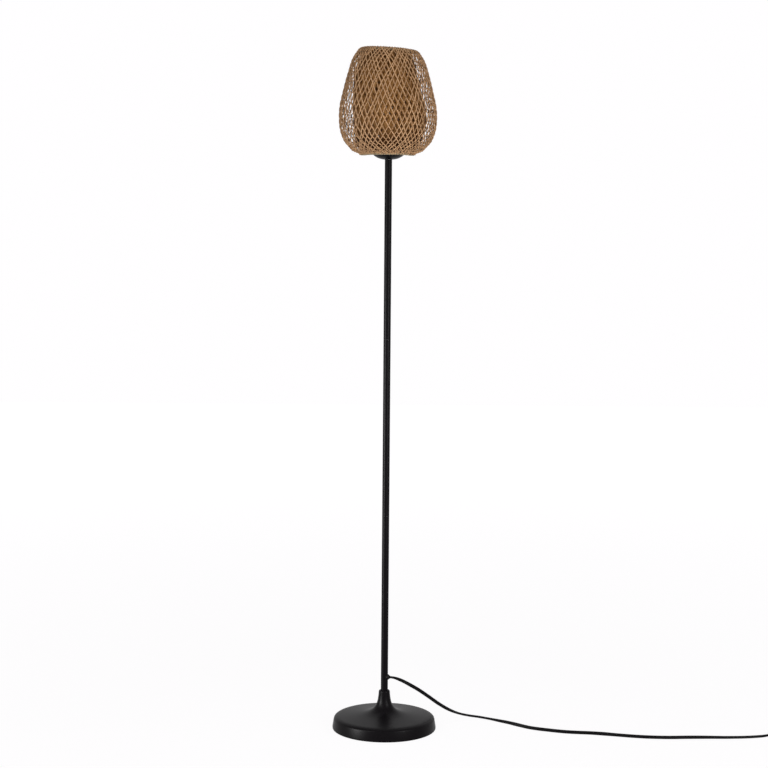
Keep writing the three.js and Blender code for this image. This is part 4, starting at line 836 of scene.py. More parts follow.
def lean(piece, sideways=((0, 0),)):
    """Bends a piece of the hand-made shade as the whole shade leans, dips and rises.

    Its own stray sideways is given at some heights.
    """
    mesh = piece.data
    places = np.empty(len(mesh.vertices) * 3)
    mesh.vertices.foreach_get("co", places)
    places = places.reshape(-1, 3)
    own = np.interp(places[:, 2] / MM, *zip(*sideways))
    foot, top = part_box("bottom_hoop")[0].z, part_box("top_hoop")[1].z
    share = np.clip((places[:, 2] - foot) / (top - foot), 0, 1)
    near, far = (radius * MM for radius in SHADE_FADE)
    fade = ease(np.clip((np.hypot(places[:, 0], places[:, 1]) - near) / (far - near), 0, 1))
    reach = SHADE_REACH * MM
    across, back = places[:, 0] / reach, np.maximum(places[:, 1], 0) / reach
    places[:, 2] += fade * (SHADE_BACK_RISE * MM * back * (1 - share) - SHADE_TILT * MM * across * share)
    places[:, 0] += fade * (SHADE_LEAN[0] + (SHADE_LEAN[1] - SHADE_LEAN[0]) * share + own) * MM
    mesh.vertices.foreach_set("co", places.ravel())
    mesh.update()


# Operators, in the order in which main calls them, each after the sizes that only it uses

class LAMP_OT_camera(bpy.types.Operator):
    """Adds the camera, at the photograph's viewing angle"""

    bl_idname = "lamp.camera"
    bl_label = "Camera"

    def execute(self, context):
        data = bpy.data.cameras.new("camera")
        data.lens = CAMERA_LENS
        data.sensor_width = CAMERA_SENSOR
        camera = bpy.data.objects.new("camera", data)
        context.scene.collection.objects.link(camera)
        camera.matrix_world = (
            Matrix.Translation(CAMERA_PLACE)
            @ Matrix.Rotation(math.radians(90 - CAMERA_PITCH_DEGREES), 4, "X")
            @ Matrix.Rotation(math.radians(CAMERA_ROLL_DEGREES), 4, "Z"))
        context.scene.camera = camera
        return {"FINISHED"}


SHELL_CORNER = 14
SHELL_CORNER_STEPS = 12
SHELL_EDGE = 2.4
SHELL_EDGE_STEPS = 5
SHELL_WALL = 2
HOLE_RADIUS = 11.4
FLANGE_RADIUS = 12.6
FLANGE_THICKNESS = 1.5
# The button from the flange up, as (radius, depth below its top)
BUTTON_EDGE = [(11, 1.6), (11, 0), (8.6, 0)]
BUTTON_DISH = [(8.6, 0), (5, 0.9), (2, 1)]
BUTTON_STEPS = 6
BOOT_RIBS = 4
BOOT_SHARES = (0.9, 1, 1.08, 1)  # how a rib swells and falls away, quarter by quarter
BOOT_TAPER = 0.985


class LAMP_OT_switch(bpy.types.Operator):
    """Models the foot switch's two shells, its button and its boots"""

    bl_idname = "lamp.switch"
    bl_label = "Foot switch"

    def execute(self, context):
        tray = self.shell("switch_lower_shell", "switch_tray", upper=False)
        cover = self.shell("switch_upper_shell", "switch_cover", upper=True)
        low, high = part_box("switch_cover")
        centre = (low + high) / 2
        clear_selection()
        bpy.ops.mesh.primitive_cylinder_add(
            vertices=MIDDLE_SIDES, radius=HOLE_RADIUS * MM, depth=40 * MM, location=centre)
        cutter = named("button_hole")
        apply_modifier(cover, "BOOLEAN", operation="DIFFERENCE", object=cutter)
        bpy.data.objects.remove(cutter)
        for piece, node in ((tray, "switch_tray"), (cover, "switch_cover")):
            smooth(piece)
            settle(piece, LAMP_BODY, "black_plastic", black_plastic(), node)
        self.add_button(centre)
        for node in ("switch_boot_in", "switch_boot_out"):
            self.add_boot(node)
        self.load_spring()
        return {"FINISHED"}

    def shell(self, name, node, upper):
        """A shell of the switch: a block with its upright corners and its outer edge rounded."""
        low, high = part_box(node)
        size = high - low
        clear_selection()
        bpy.ops.mesh.primitive_cube_add(size=1, location=(low + high) / 2, scale=size)
        piece = named(name)
        near = 0.1 * MM
        rim, open_side = (high.z, low.z) if upper else (low.z, high.z)
        mesh = edit(piece)
        select_where(
            piece.data, mesh.edges, lambda line: (line.verts[0].co - line.verts[1].co).to_2d().length < near)
        bpy.ops.mesh.bevel(offset=SHELL_CORNER * MM, segments=SHELL_CORNER_STEPS, affect="EDGES")
        mesh = bmesh.from_edit_mesh(piece.data)
        select_where(piece.data, mesh.edges, lambda line: all(abs(v.co.z - rim) < near for v in line.verts))
        bpy.ops.mesh.bevel(offset=SHELL_EDGE * MM, segments=SHELL_EDGE_STEPS, affect="EDGES")
        mesh = bmesh.from_edit_mesh(piece.data)
        select_where(
            piece.data, mesh.faces, lambda face: all(abs(v.co.z - open_side) < near for v in face.verts))
        bpy.ops.mesh.inset(thickness=SHELL_WALL * MM)
        depth = (size.z - SHELL_WALL * MM) * (1 if upper else -1)
        bpy.ops.mesh.extrude_region_move(TRANSFORM_OT_translate={"value": (0, 0, depth)})
        finish_edit()
        return piece

    def add_button(self, centre):
        low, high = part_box("switch_button")
        flange_top = low.z + FLANGE_THICKNESS * MM
        edge, dish = (
            [(r * MM, high.z - depth * MM) for r, depth in row] for row in (BUTTON_EDGE, BUTTON_DISH))
        profile = [(FLANGE_RADIUS * MM, low.z), (FLANGE_RADIUS * MM, flange_top), (edge[0][0], flange_top)]
        profile += [edge[0], *quadratic(*edge, BUTTON_STEPS), *quadratic(*dish, BUTTON_STEPS)]
        profile.append((0, dish[-1][1]))
        button = turned("foot_button", profile, MIDDLE_SIDES, closed_foot=True)
        button.data.transform(Matrix.Translation((centre.x, centre.y, 0)))
        smooth(button)
        settle(button, "button", "black_plastic", black_plastic(), "switch_button")

    def add_boot(self, node):
        low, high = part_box(node)
        inner, outer = (low.x, high.x) if node.endswith("out") else (high.x, low.x)
        middle = (low + high) / 2
        clear_selection()
        bpy.ops.mesh.primitive_circle_add(
            vertices=SMALL_SIDES, radius=1 * MM, fill_type="NGON", rotation=(0, TURN / 4, 0),
            location=(inner, middle.y, middle.z))
        boot = named(node.replace("switch_", "") + "_sleeve")
        bpy.ops.object.mode_set(mode="EDIT")
        bpy.ops.mesh.select_all(action="SELECT")
        half_width, half_height = (high.y - low.y) / 2 / MM, (high.z - low.z) / 2 / MM
        bpy.ops.transform.resize(
            value=(1, half_width, half_height), center_override=(inner, middle.y, middle.z))
        quarters = len(BOOT_SHARES) * BOOT_RIBS
        x = inner
        for i in range(quarters):
            share = BOOT_SHARES[i % len(BOOT_SHARES)] * BOOT_TAPER
            x = extrude_along_x(x, (outer - inner) / quarters, share, share, middle)
        finish_edit()
        soften(boot, 0.2 * MM)
        smooth(boot)
        settle(boot, LAMP_BODY, "black_plastic", black_plastic(), node)

    def load_spring(self):
        """Gives the wire spring under the button a mesh of its own."""
        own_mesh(frame["nodes"]["switch_spring"])


PLUG_HEAD = 18
PLUG_SHOULDER = 10
PLUG_NECK = 14
PLUG_ROUNDING = 2.2
PIN_RADIUS = 2
PIN_TIP = (1.2, 0.2)  # how far from its end a pin narrows to a radius of the same size, and closes


class LAMP_OT_plug(bpy.types.Operator):
    """Models the flat two-pin plug and its pins"""

    bl_idname = "lamp.plug"
    bl_label = "Plug"

    def execute(self, context):
        low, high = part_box("plug_body")
        size = high - low
        middle = (low + high) / 2
        head = PLUG_HEAD * MM
        clear_selection()
        bpy.ops.mesh.primitive_cube_add(
            size=1, location=(low.x + head / 2, middle.y, middle.z), scale=(head, size.y, size.z))
        plug = named("plug_moulding")
        mesh = edit(plug)
        select_where(plug.data, mesh.faces, lambda face: face.normal.x > 0.9)
        x = low.x + head
        waist = size.x - (PLUG_HEAD + PLUG_SHOULDER + PLUG_NECK) * MM
        steps = [(PLUG_SHOULDER * MM, 0.72, 1), (waist, 0.42, 0.9), (PLUG_NECK * MM, 0.8, 0.72)]
        for reach, wide, tall in steps:
            x = extrude_along_x(x, reach, wide, tall, middle)
        finish_edit()
        soften(plug, PLUG_ROUNDING * MM, segments=3, angle=60)
        apply_modifier(plug, "SUBSURF", levels=2, render_levels=2)
        smooth(plug, 60)
        settle(plug, LAMP_BODY, "black_plastic", black_plastic(), "plug_body")
        for node in ("plug_pin_front", "plug_pin_back"):
            self.add_pin(node)
        return {"FINISHED"}

    def add_pin(self, node):
        """A round pin with a blunt tip."""
        low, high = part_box(node)
        middle = (low + high) / 2
        radius, length = PIN_RADIUS * MM, high.x - low.x
        narrow, close = (size * MM for size in PIN_TIP)
        profile = [(radius, 0), (radius, length - narrow), (narrow, length - close), (0, length)]
        pin = turned(node + "_metal", profile, SMALL_SIDES, closed_foot=True)
        soften(pin, 0.2 * MM)
        pin.data.transform(
            Matrix.Translation((high.x, middle.y, middle.z)) @ Matrix.Rotation(-TURN / 4, 4, "Y"))
        smooth(pin)
        settle(pin, LAMP_BODY, "zinc_steel", zinc_plate(), node)


class LAMP_OT_flex(bpy.types.Operator):
    """Lays the flat flex: from the bush to the foot switch, and on through its coil to the plug"""

    bl_idname = "lamp.flex"
    bl_label = "Flex"

    def execute(self, context):
        make_flex("lead", lead_route(), 6, ["flex_to_switch"])
        make_flex(
            "spare_flex", coil_route(), 2, ["flex_from_switch", "flex_coil", "flex_to_plug"])
        return {"FINISHED"}


BASE_SIDES = 192
BASE_WALL = 1.5
# The cover's outline from its foot: the first rows are (inward from the edge, height), and the waist's
# are (radius, height)
BASE_LIP = [(6, 0), (1.5, 0)]
BASE_LIP_CURVE = [(0, 0), (0, 2)]
BASE_RIM = [(0, 4.5), (2.8, 21.7)]
BASE_RIM_CURVE = [(3.6, 27.3), (13.8, 28.9)]
BASE_WAIST = [
    (78, 31.3), (60, 33.4), (46, 35.7), (34, 39.3), (26, 44), (20.5, 50), (17.4, 55.8), (15, 63), (13.6, 71),
    (12.8, 78), (12.5, 82),
]
NECK_RADII = (12.4, 10.2, 8.2)  # how its top closes in on the pole


class LAMP_OT_base(bpy.types.Operator):
    """Turns the base's steel cover, which rises in a trumpet to the pole"""

    bl_idname = "lamp.base"
    bl_label = "Base"

    def execute(self, context):
        low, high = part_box("base_cover")
        lip, lip_curve = ([(high.x - inward * MM, low.z + z * MM) for inward, z in row]
                          for row in (BASE_LIP, BASE_LIP_CURVE))
        rim, rim_curve = ([(high.x - inward * MM, z * MM) for inward, z in row]
                          for row in (BASE_RIM, BASE_RIM_CURVE))
        outer = lip + quadratic(lip[-1], *lip_curve, 5) + rim + quadratic(rim[-1], *rim_curve, 12)
        waist_start = (high.x / MM - BASE_RIM_CURVE[-1][0], BASE_RIM_CURVE[-1][1])
        waist = spline([(r, z, 0) for r, z in [waist_start] + BASE_WAIST], 4)[1:, :2]
        outer += [(r * MM, z * MM) for r, z in waist]
        turning, closing, inside = ((r * MM, high.z) for r in NECK_RADII)
        outer += quadratic(outer[-1], turning, closing, 7) + [inside]
        cover = turned("base_shell", walled(outer, BASE_WALL * MM), sides=BASE_SIDES)
        smooth(cover)
        settle(cover, LAMP_BODY, "black_steel", black_coat(), "base_cover")
        return {"FINISHED"}


TUBE_WALL = 1.1
TUBE_SWELL = 0.4  # what the tubes are thicker than their plain nodes, as photographed
TUBE_ROUNDING = 0.12
# The bush along its run, as (distance from the pole's middle, half its width, half its height)
BUSH_STATIONS = [
    (3.5, 6.3, 6.3), (7.8, 6.4, 6.4), (8.8, 6.3, 6.2), (9.2, 5.9, 5.6), (10, 5.7, 4.9), (11.2, 5.4, 3.9),
    (12.2, 5.2, 3.4), (12.5, 5, 3.2),
]
BUSH_MOUTH = (0.5, -1.5)  # the rim round the hole at its tip, and how deep the hole goes


class LAMP_OT_pole(bpy.types.Operator):
    """Adds the pole's three tubes and the bush that the flex leaves through"""

    bl_idname = "lamp.pole"
    bl_label = "Pole"

    def execute(self, context):
        for part in ("lower", "middle", "upper"):
            low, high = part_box("pole_" + part)
            clear_selection()
            bpy.ops.mesh.primitive_cylinder_add(
                vertices=MIDDLE_SIDES, radius=high.x + TUBE_SWELL * MM, depth=high.z - low.z,
                end_fill_type="NOTHING", location=(0, 0, (high.z + low.z) / 2))
            tube = named("tube_" + part)
            apply_modifier(tube, "SOLIDIFY", thickness=TUBE_WALL * MM, offset=-1)
            soften(tube, TUBE_ROUNDING * MM)
            smooth(tube, 20)  # less than the rounded ends turn, so that the long sides stay evenly lit
            settle(tube, LAMP_BODY, "black_steel", black_coat(), "pole_" + part)
        self.add_bush()
        return {"FINISHED"}

    def add_bush(self):
        """A tapered bush: round on the pole, flattening towards the flex, with one raised ring."""
        clear_selection()
        x, width, _ = BUSH_STATIONS[0]
        bpy.ops.mesh.primitive_circle_add(
            vertices=SMALL_SIDES, radius=width * MM, fill_type="NGON", rotation=(0, TURN / 4, 0),
            location=(x * MM, 0, 0))
        bush = named("bush")
        bpy.ops.object.mode_set(mode="EDIT")
        bpy.ops.mesh.select_all(action="SELECT")
        for (x0, w0, h0), (x1, w1, h1) in zip(BUSH_STATIONS, BUSH_STATIONS[1:]):
            extrude_along_x(x0 * MM, (x1 - x0) * MM, w1 / w0, h1 / h0, Vector())
        rim, depth = BUSH_MOUTH
        bpy.ops.mesh.inset(thickness=rim * MM)
        bpy.ops.mesh.extrude_region_move(TRANSFORM_OT_translate={"value": (depth * MM, 0, 0)})
        finish_edit()
        bush.data.transform(
            Matrix.Translation((0, 0, EXIT_HEIGHT * MM)) @ Matrix.Rotation(EXIT_TURN, 4, "Z"))
        soften(bush, 0.25 * MM)
        smooth(bush)
        settle(bush, LAMP_BODY, "black_plastic", black_plastic(), "cord_bush")


CUP_WALL = 1.2


class LAMP_OT_cup(bpy.types.Operator):
    """Turns the shallow black cup under the shade"""

    bl_idname = "lamp.cup"
    bl_label = "Cup"

    def execute(self, context):
        low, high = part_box("shade_cup")
        rim, depth = high.x, high.z - low.z
        outer = [(5.3 * MM, low.z), (8 * MM, low.z)]
        outer += quadratic(outer[-1], (0.68 * rim, low.z + 0.04 * depth), (rim, high.z - 0.4 * MM), 16)
        cup = turned("cup", walled(outer, CUP_WALL * MM))
        soften(cup, 0.35 * MM)
        smooth(cup, 35)
        settle(cup, LAMP_BODY, "black_steel", black_coat(), "shade_cup")
        return {"FINISHED"}


HOOP_BORE = 46
HOOPS = [("bottom_hoop", "hoop_bottom", 58.3), ("top_hoop", "hoop_top", 55.2)]  # with the outer radius
HOOP_ROUNDING = 1.9
HOOP_TONE = 0.25
HOOP_GRAIN_RADIUS = 0.05  # metres of grain for each radian round the hoop
BINDING_TURNS = 64
BINDING_STEPS = 16
BINDING_SECTION = [(-1.5, -0.2), (1.5, -0.2), (1.5, 0.2), (-1.5, 0.2)]
BINDING_GAP = 0.35
BINDING_SQUARENESS = 0.35  # 1 winds in an oval, and 0 in a rectangle
BINDING_TONE = 0.1
BINDING_GRAIN_STEP = 0.001


class LAMP_OT_hoops(bpy.types.Operator):
    """Bends the two rattan hoops and binds each with a split strip"""

    bl_idname = "lamp.hoops"
    bl_label = "Hoops"

    def execute(self, context):
        shade = context.scene.lamp_shade
        rattan = split_rattan("hoop_rattan", tuple(shade.hoop), tuple(shade.hoop_dark))
        for node, name, edge in HOOPS:
            low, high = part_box(node)
            section = (HOOP_BORE * MM, edge * MM, low.z + 0.5 * MM, high.z)
            hoop = turned(name, rectangle(*section))
            soften(hoop, HOOP_ROUNDING * MM, segments=5)
            smooth(hoop)
            self.run_grain_round(hoop.data)
            settle(hoop, LAMP_BODY, "rattan", rattan, node)
            binding = self.add_binding(name + "_binding", *section, rattan)
            lean(hoop)
            lean(binding)
        return {"FINISHED"}

    def run_grain_round(self, mesh):
        for layer in list(mesh.uv_layers):
            mesh.uv_layers.remove(layer)
        layer = mesh.uv_layers.new(name="strip")
        for face in mesh.polygons:
            places = [mesh.vertices[mesh.loops[i].vertex_index].co for i in face.loop_indices]
            angles = [math.atan2(place.y, place.x) for place in places]
            seam = max(angles) - min(angles) > math.pi
            for i, place, angle in zip(face.loop_indices, places, angles):
                turn = angle + TURN if seam and angle < 0 else angle
                layer.data[i].uv = (turn * HOOP_GRAIN_RADIUS, place.z + math.hypot(place.x, place.y))
        tone = mesh.attributes.new("tone", "FLOAT", "POINT")
        tone.data.foreach_set("value", [HOOP_TONE] * len(mesh.vertices))

    def add_binding(self, name, bore, edge, foot, top, rattan):
        """One long split strip that winds round the hoop's section, turn after turn."""
        steps = BINDING_TURNS * BINDING_STEPS
        half_width, half_height = (edge - bore) / 2 + BINDING_GAP * MM, (top - foot) / 2 + BINDING_GAP * MM
        middle_radius, middle_height = (edge + bore) / 2, (top + foot) / 2
        path, outward = [], []
        for i in range(steps):
            wind = TURN * i / BINDING_STEPS
            c, s = (math.copysign(abs(v) ** BINDING_SQUARENESS, v) for v in (math.cos(wind), math.sin(wind)))
            angle = TURN * i / steps
            r = middle_radius + half_width * c
            path.append((r * math.cos(angle), r * math.sin(angle), middle_height + half_height * s))
            out = (c / half_width * math.cos(angle), c / half_width * math.sin(angle), s / half_height)
            outward.append(Vector(out).normalized())
        points, uvs = [], []
        for i, (place, n) in enumerate(zip(path, outward)):
            tangent = (Vector(path[(i + 1) % steps]) - Vector(path[i - 1])).normalized()
            across = tangent.cross(n).normalized()
            normal = across.cross(tangent)
            for x, y in BINDING_SECTION:
                points.append(Vector(place) + across * (x * MM) + normal * (y * MM))
                uvs.append((i * BINDING_GRAIN_STEP, x * MM))
        binding = mesh_piece(name, points, tube_faces(steps, len(BINDING_SECTION), closed=True))
        pattern_strip(binding.data, uvs, tone=[BINDING_TONE] * len(points))
        edit(binding)
        finish_edit()
        smooth(binding)
        return settle(binding, LAMP_BODY, "rattan", rattan)


LINER_CALM = 0.6  # the share of the wander that the liner's broad strips have


class LAMP_OT_weave(bpy.types.Operator):
    """Weaves the shade's outer layer and its smaller liner"""

    bl_idname = "lamp.weave"
    bl_label = "Weave"

    def execute(self, context):
        shade = context.scene.lamp_shade
        # edge sets the painted shade along the strips' edges, and back the share of the near-black back
        # colour, partly painted shade
        outer = woven_layer(
            "outer_strips", OUTER_OUTLINE, OUTER_SLANT_SHARES, shade.strips, shade.strip_width,
            shade.strip_thickness, HALF_ROUND_SECTION, shade.wander, seed=7, edge=0.35, back=0.6, cover=0.94)
        lean(outer)
        rattan = split_rattan("split_rattan", tuple(shade.rattan), tuple(shade.rattan_dark))
        settle(outer, LAMP_BODY, "rattan", rattan, "outer_weave")
        liner = woven_layer(
            "liner_strips", INNER_OUTLINE, INNER_SLANT_SHARES, shade.liner_strips, shade.liner_width,
            shade.liner_thickness, FLAT_SECTION, LINER_CALM * shade.wander, seed=11, edge=0.95, back=0.75,
            cover=0.9, painted_shade_heights=INNER_PAINTED_SHADE)
        lean(liner, INNER_STRAY)
        # The liner's darker colours are partly painted shade
        liner_finish_with_painted_shade = split_rattan("liner_rattan", tuple(shade.liner), tuple(shade.liner_dark))
        settle(liner, LAMP_BODY, "rattan", liner_finish_with_painted_shade, "inner_weave")
        return {"FINISHED"}


FRAME_WIRE = 1.6
FRAME_ARMS = 3
WASHER_BORE = 19.8
WASHER_EDGE = 24.8
WASHER_SET = (2.1, 0.5)  # how far its two faces lie below the frame's top


class LAMP_OT_frame(bpy.types.Operator):
    """Bends the wire frame that carries the shade"""

    bl_idname = "lamp.frame"
    bl_label = "Wire frame"

    def execute(self, context):
        low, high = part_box("shade_frame")
        wire = FRAME_WIRE * MM
        ring_radius, ring_height = high.x - wire, low.z + wire
        clear_selection()
        bpy.ops.mesh.primitive_torus_add(
            major_radius=ring_radius, minor_radius=wire, major_segments=MIDDLE_SIDES, minor_segments=16,
            location=(0, 0, ring_height))
        ring = named("frame_ring")
        below, above = (high.z - depth * MM for depth in WASHER_SET)
        washer = turned(
            "frame_washer", rectangle(WASHER_BORE * MM, WASHER_EDGE * MM, below, above), MIDDLE_SIDES)
        start = Vector((24 * MM, 0, (below + above) / 2))
        run = Vector((ring_radius, 0, ring_height)) - start
        arms = []
        for i in range(FRAME_ARMS):
            clear_selection()
            bpy.ops.mesh.primitive_cylinder_add(
                vertices=16, radius=wire, depth=run.length, location=start + run / 2,
                rotation=run.to_track_quat("Z", "Y").to_euler())
            arm = named(f"frame_arm_{i}")
            arm.data.transform(Matrix.Rotation(TURN / 4 + i * TURN / FRAME_ARMS, 4, "Z"))
            arms.append(arm)
        clear_selection()
        for part in [ring, washer, *arms]:
            part.select_set(True)
        bpy.context.view_layer.objects.active = ring
        bpy.ops.object.join()
        whole = bpy.context.object
        whole.name = "wire_frame"
        smooth(whole)
        settle(whole, LAMP_BODY, "black_steel", black_coat(), "shade_frame")
        lean(whole)
        return {"FINISHED"}


HOLDER_WALL = 2.2
SKIRT_RADIUS = 19.5
SKIRT_BORE = 15.6
SKIRT_POCKET = 17.3  # the wider bore at its foot
SKIRT_POCKET_DEPTH = 7.4
SKIRT_LEDGE = (8, 10.4)  # how high the ledge's two faces lie above its foot
SKIRT_THREAD = (0.7, 2.2)  # depth and pitch
NUT_BORE = 19.9
NUT_SIDES = 72
NUT_GRIP_EVERY = 3
NUT_GRIP_DEPTH = 0.965
BULB_THREAD = (1.1, 3.2)
BULB_NECK = 13.6
BULB_SIDES = 64
BULB_STEPS = 16


class LAMP_OT_holder(bpy.types.Operator):
    """Turns the lamp holder, its ring nut and the bulb"""

    bl_idname = "lamp.holder"
    bl_label = "Lamp holder and bulb"

    def execute(self, context):
        low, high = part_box("holder_cap")
        radius = high.x
        outer = [(5.3 * MM, low.z), (8.5 * MM, low.z)]
        outer += quadratic(outer[-1], (radius, low.z), (radius, (low.z + high.z) / 2), 12)
        outer.append((radius, high.z))
        self.add(
            "holder_lower_shell", walled(outer, HOLDER_WALL * MM), "black_plastic", black_plastic(),
            "holder_cap")
        self.add_skirt()
        self.add_ring_nut()
        self.add_bulb()
        return {"FINISHED"}

    def add(self, name, profile, slot, material, node, sides=TURN_SIDES, body=LAMP_BODY, closed_foot=False):
        piece = turned(name, profile, sides, closed_foot)
        soften(piece, 0.3 * MM)
        smooth(piece)
        return settle(piece, body, slot, material, node)

    def thread_rings(self, radius, foot, top, depth, pitch):
        """Rounded ridges, as a lamp holder's coarse thread looks from the side."""
        points = []
        for i in range(int((top - foot) / (pitch * MM))):
            height = foot + i * (pitch * MM)
            for inward, share in ((0, 0), (depth, 0.35), (depth, 0.65), (0, 1)):
                points.append((radius - inward * MM, height + share * (pitch * MM)))
        return points

    def add_skirt(self):
        low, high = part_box("holder_skirt")
        barrel, bore, pocket = SKIRT_RADIUS * MM, SKIRT_BORE * MM, SKIRT_POCKET * MM
        pocket_top = low.z + SKIRT_POCKET_DEPTH * MM
        ledge, ledge_top = (low.z + height * MM for height in SKIRT_LEDGE)
        thread = self.thread_rings(barrel, ledge_top + 1.2 * MM, high.z - 2 * MM, *SKIRT_THREAD)
        profile = [
            (pocket, low.z), (barrel, low.z), (barrel, ledge), (high.x, ledge), (high.x, ledge_top),
            (barrel, ledge_top), *thread, (barrel, high.z), (bore, high.z), (bore, pocket_top),
            (pocket, pocket_top), (pocket, low.z),
        ]
        self.add("holder_upper_shell", profile, "black_plastic", black_plastic(), "holder_skirt")

    def add_ring_nut(self):
        low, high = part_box("shade_ring_nut")
        nut = self.add(
            "ring_nut", rectangle(NUT_BORE * MM, high.x, low.z, high.z), "black_plastic", black_plastic(),
            "shade_ring_nut", sides=NUT_SIDES)

        def is_grip(face):
            middle = face.calc_center_median().to_2d()
            if abs(face.normal.z) >= 0.3 or middle.length <= high.x - 1 * MM:
                return False
            return int(round(math.atan2(*middle) / TURN * NUT_SIDES)) % NUT_GRIP_EVERY == 0

        mesh = edit(nut)
        select_where(nut.data, mesh.faces, is_grip)
        bpy.ops.mesh.inset(thickness=0.3 * MM)
        bpy.ops.transform.resize(value=(NUT_GRIP_DEPTH, NUT_GRIP_DEPTH, 1), center_override=(0, 0, low.z))
        bpy.ops.object.mode_set(mode="OBJECT")

    def add_bulb(self):
        low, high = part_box("bulb_cap")
        radius = high.x
        thread = self.thread_rings(radius, low.z + 7 * MM, high.z - 4 * MM, *BULB_THREAD)
        profile = [
            (4.5 * MM, low.z), (6 * MM, low.z + 1.2 * MM), (radius - 1.5 * MM, low.z + 4 * MM),
            (radius, low.z + 6 * MM), *thread, (radius, high.z), (radius - 0.8 * MM, high.z),
        ]
        self.add(
            "bulb_screw_cap", profile, "zinc_steel", zinc_plate(), "bulb_cap", BULB_SIDES, "bulb",
            closed_foot=True)
        low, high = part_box("bulb_glass")
        ball, neck = high.x, BULB_NECK * MM
        belly = high.z - ball
        outer = [(neck, low.z)]
        for i in range(1, BULB_STEPS + 1):
            t = i / BULB_STEPS
            outer.append((neck + (ball - neck) * ease(t), low.z + (belly - low.z) * t))
        for i in range(1, BULB_STEPS):
            a = TURN / 4 * i / BULB_STEPS
            outer.append((ball * math.cos(a), belly + ball * math.sin(a)))
        outer.append((0, high.z))
        glass = turned("bulb_envelope", outer, BULB_SIDES)
        smooth(glass, 60)
        settle(glass, "bulb", "opal_glass", opal_glass(), "bulb_glass")


class LAMP_OT_hidden(bpy.types.Operator):
    """Gives the carried-over pieces, most of them inside the lamp, their own finishes"""

    bl_idname = "lamp.hidden"
    bl_label = "Inner pieces"

    def execute(self, context):
        finishes = {
            "black_steel": black_coat, "iron_weight": cast_iron, "zinc_steel": zinc_plate,
            "brass": brass_plate, "black_plastic": black_plastic, "flex_sheath": flex_sheath,
            "ceramic": pale_ceramic, "felt": felt, "opal_glass": opal_glass,
        }
        slots = {part["node"]: part["material_slot"] for part in frame["record"]["subparts"]}
        for name, node in frame["nodes"].items():
            finish = finishes.get(slots[name])
            if finish:
                node.data.materials.clear()
                node.data.materials.append(finish())
        return {"FINISHED"}


# Each light as (name, setting of its power, size, place, target)
LIGHTS = [
    ("key_light", "key_power", 1.6, (-2.2, -2.8, 2.1), (0, 0, 0.9)),
    ("fill_light", "fill_power", 1.8, (2.6, -2.2, 1.5), (0, 0, 0.9)),
    ("top_light", "top_power", 1.6, (0.2, 0.6, 3.2), (0, 0, 0.6)),
    ("low_light", "low_power", 1.2, (0.4, -2.4, 0.5), (0, 0, 1.3)),
]
# Tall lights beside the lamp, as (name and setting, width, height, place)
SHEENS = [
    ("left_sheen", 0.5, 0.85, (-1.94, -1.03, 0.44)),
    ("right_sheen", 0.25, 0.6, (1.44, -1.66, 0.8)),
]
WORLD_LIGHT = 0.14
FLOOR_LIT = (0.8, 0.795, 0.8, 1)  # what the floor throws back on the lamp
FLOOR_SHADED = (0.12, 0.12, 0.12, 1)  # what shadows take from the floor that is seen
# The seen floor is paler with distance from the lamp, so that it meets the backdrop without a line
FLOOR_DISTANCES = (0.7, 4)
FLOOR_STRENGTHS = (0.935, 0.995)


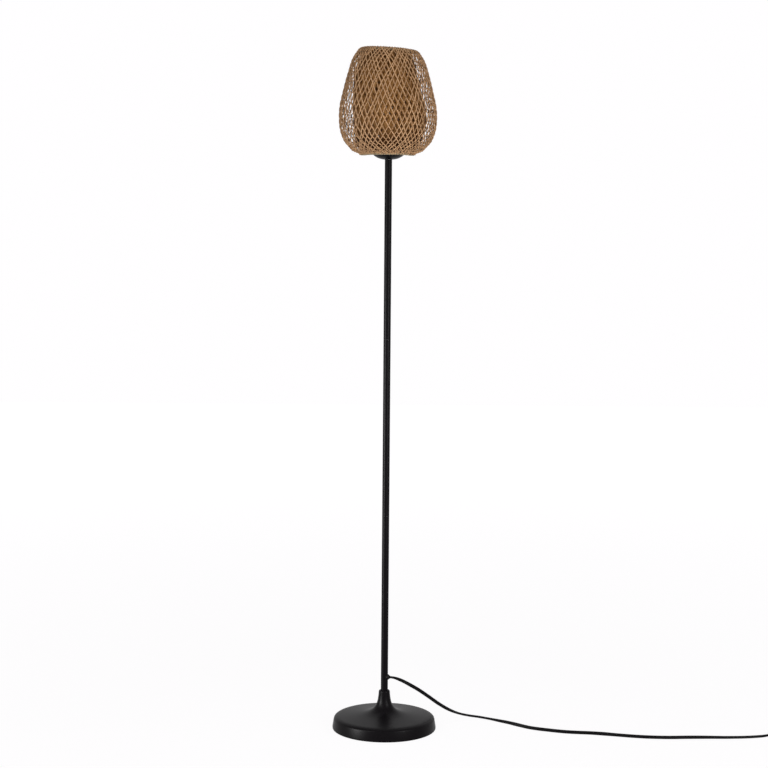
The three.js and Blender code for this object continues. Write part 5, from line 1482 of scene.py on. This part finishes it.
class LAMP_OT_stage(bpy.types.Operator):
    """Adds the floor, the backdrop and the lights"""

    bl_idname = "lamp.stage"
    bl_label = "Stage"

    def execute(self, context):
        stage = context.scene.lamp_stage
        context.scene.view_settings.view_transform = "Standard"
        self.add_floor(stage)
        self.set_world(context.scene, stage)
        for name, setting, size, place, target in LIGHTS:
            light = self.add_light(name, getattr(stage, setting), size, place, target)
            light.visible_glossy = name != "low_light"
        for name, width, height, place in SHEENS:
            sheen = self.add_light(name, getattr(stage, name), width, place, (0, 0, place[2]))
            sheen.data.shape = "RECTANGLE"
            sheen.data.size_y = height
            sheen.visible_camera = False
            sheen.visible_diffuse = False
        return {"FINISHED"}

    def add_floor(self, stage):
        clear_selection()
        bpy.ops.mesh.primitive_plane_add(size=stage.floor_size)
        floor = named("floor")
        material, tree, shader = new_material("floor")
        set_sockets(tree, shader, {"Base Color": FLOOR_LIT, "Roughness": 0.9, "Specular IOR Level": 0})
        shaded = add_node(tree, "ShaderNodeBsdfDiffuse", {"Color": FLOOR_SHADED}).outputs["BSDF"]
        place = add_node(tree, "ShaderNodeTexCoord").outputs["Object"]
        distance = add_node(tree, "ShaderNodeVectorMath", {0: place}, operation="LENGTH").outputs["Value"]
        strength = add_node(tree, "ShaderNodeMapRange", {
            "From Min": FLOOR_DISTANCES[0], "From Max": FLOOR_DISTANCES[1], "To Min": FLOOR_STRENGTHS[0],
            "To Max": FLOOR_STRENGTHS[1], "Value": distance}).outputs["Result"]
        glow = add_node(tree, "ShaderNodeEmission", {
            "Color": tuple(stage.backdrop), "Strength": strength}).outputs["Emission"]
        seen = add_node(tree, "ShaderNodeAddShader", {0: shaded, 1: glow}).outputs["Shader"]
        self.show_apart(tree, shader.outputs["BSDF"], seen, tree.nodes["Material Output"])
        floor.data.materials.append(material)

    def show_apart(self, tree, lit, seen, output):
        """Shows seen to the camera, to reflections and through glass, and lit to all other rays."""
        rays = add_node(tree, "ShaderNodeLightPath").outputs
        direct = rays["Is Camera Ray"]
        for kind in ("Is Glossy Ray", "Is Transmission Ray"):
            direct = combine(tree, "MAXIMUM", direct, rays[kind])
        pick = add_node(tree, "ShaderNodeMixShader", {0: direct, 1: lit, 2: seen})
        tree.links.new(pick.outputs["Shader"], output.inputs["Surface"])

    def set_world(self, scene, stage):
        world = scene.world or bpy.data.worlds.new("world")
        scene.world = world
        world.use_nodes = True
        tree = world.node_tree
        tree.nodes.clear()
        lit, seen = (
            add_node(
                tree, "ShaderNodeBackground", {"Color": colour, "Strength": strength}).outputs["Background"]
            for colour, strength in (((1, 1, 1, 1), WORLD_LIGHT), (tuple(stage.backdrop), 1)))
        self.show_apart(tree, lit, seen, add_node(tree, "ShaderNodeOutputWorld"))

    def add_light(self, name, power, size, place, target):
        data = bpy.data.lights.new(name, "AREA")
        data.energy = power
        data.size = size
        light = bpy.data.objects.new(name, data)
        bpy.context.scene.collection.objects.link(light)
        light.location = place
        light.rotation_euler = (Vector(target) - Vector(place)).to_track_quat("-Z", "Y").to_euler()
        return light


SETTINGS = {
    "lamp_shade": ShadeSettings, "lamp_metal": MetalSettings, "lamp_flex": FlexSettings,
    "lamp_stage": StageSettings,
}
OPERATORS = (
    LAMP_OT_camera, LAMP_OT_switch, LAMP_OT_plug, LAMP_OT_flex, LAMP_OT_base, LAMP_OT_pole, LAMP_OT_cup,
    LAMP_OT_hoops, LAMP_OT_weave, LAMP_OT_frame, LAMP_OT_holder, LAMP_OT_hidden, LAMP_OT_stage,
)


class LAMP_PT_sidebar(bpy.types.Panel):
    """Lists the lamp's settings and pieces"""

    bl_idname = "LAMP_PT_sidebar"
    bl_label = "Rattan floor lamp"
    bl_space_type = "VIEW_3D"
    bl_region_type = "UI"
    bl_category = "Lamp"

    def draw(self, context):
        for name in SETTINGS:
            group = getattr(context.scene, name)
            box = self.layout.box()
            for key in group.__annotations__:
                box.prop(group, key)
        for operator in OPERATORS:
            self.layout.operator(operator.bl_idname)


CLASSES = (*SETTINGS.values(), *OPERATORS, LAMP_PT_sidebar)


def register():
    for kind in CLASSES:
        bpy.utils.register_class(kind)
    for name, group in SETTINGS.items():
        setattr(bpy.types.Scene, name, bpy.props.PointerProperty(type=group))


def unregister():
    for name in SETTINGS:
        delattr(bpy.types.Scene, name)
    for kind in reversed(CLASSES):
        bpy.utils.unregister_class(kind)


def main():
    register()
    bpy.ops.lamp.camera()
    bpy.ops.lamp.switch()
    bpy.ops.lamp.plug()
    bpy.ops.lamp.flex()
    bpy.ops.lamp.base()
    bpy.ops.lamp.pole()
    bpy.ops.lamp.cup()
    bpy.ops.lamp.hoops()
    bpy.ops.lamp.weave()
    bpy.ops.lamp.frame()
    bpy.ops.lamp.holder()
    bpy.ops.lamp.hidden()
    bpy.ops.lamp.stage()
    bpy.context.view_layer.update()


if __name__ == "__main__":
    main()
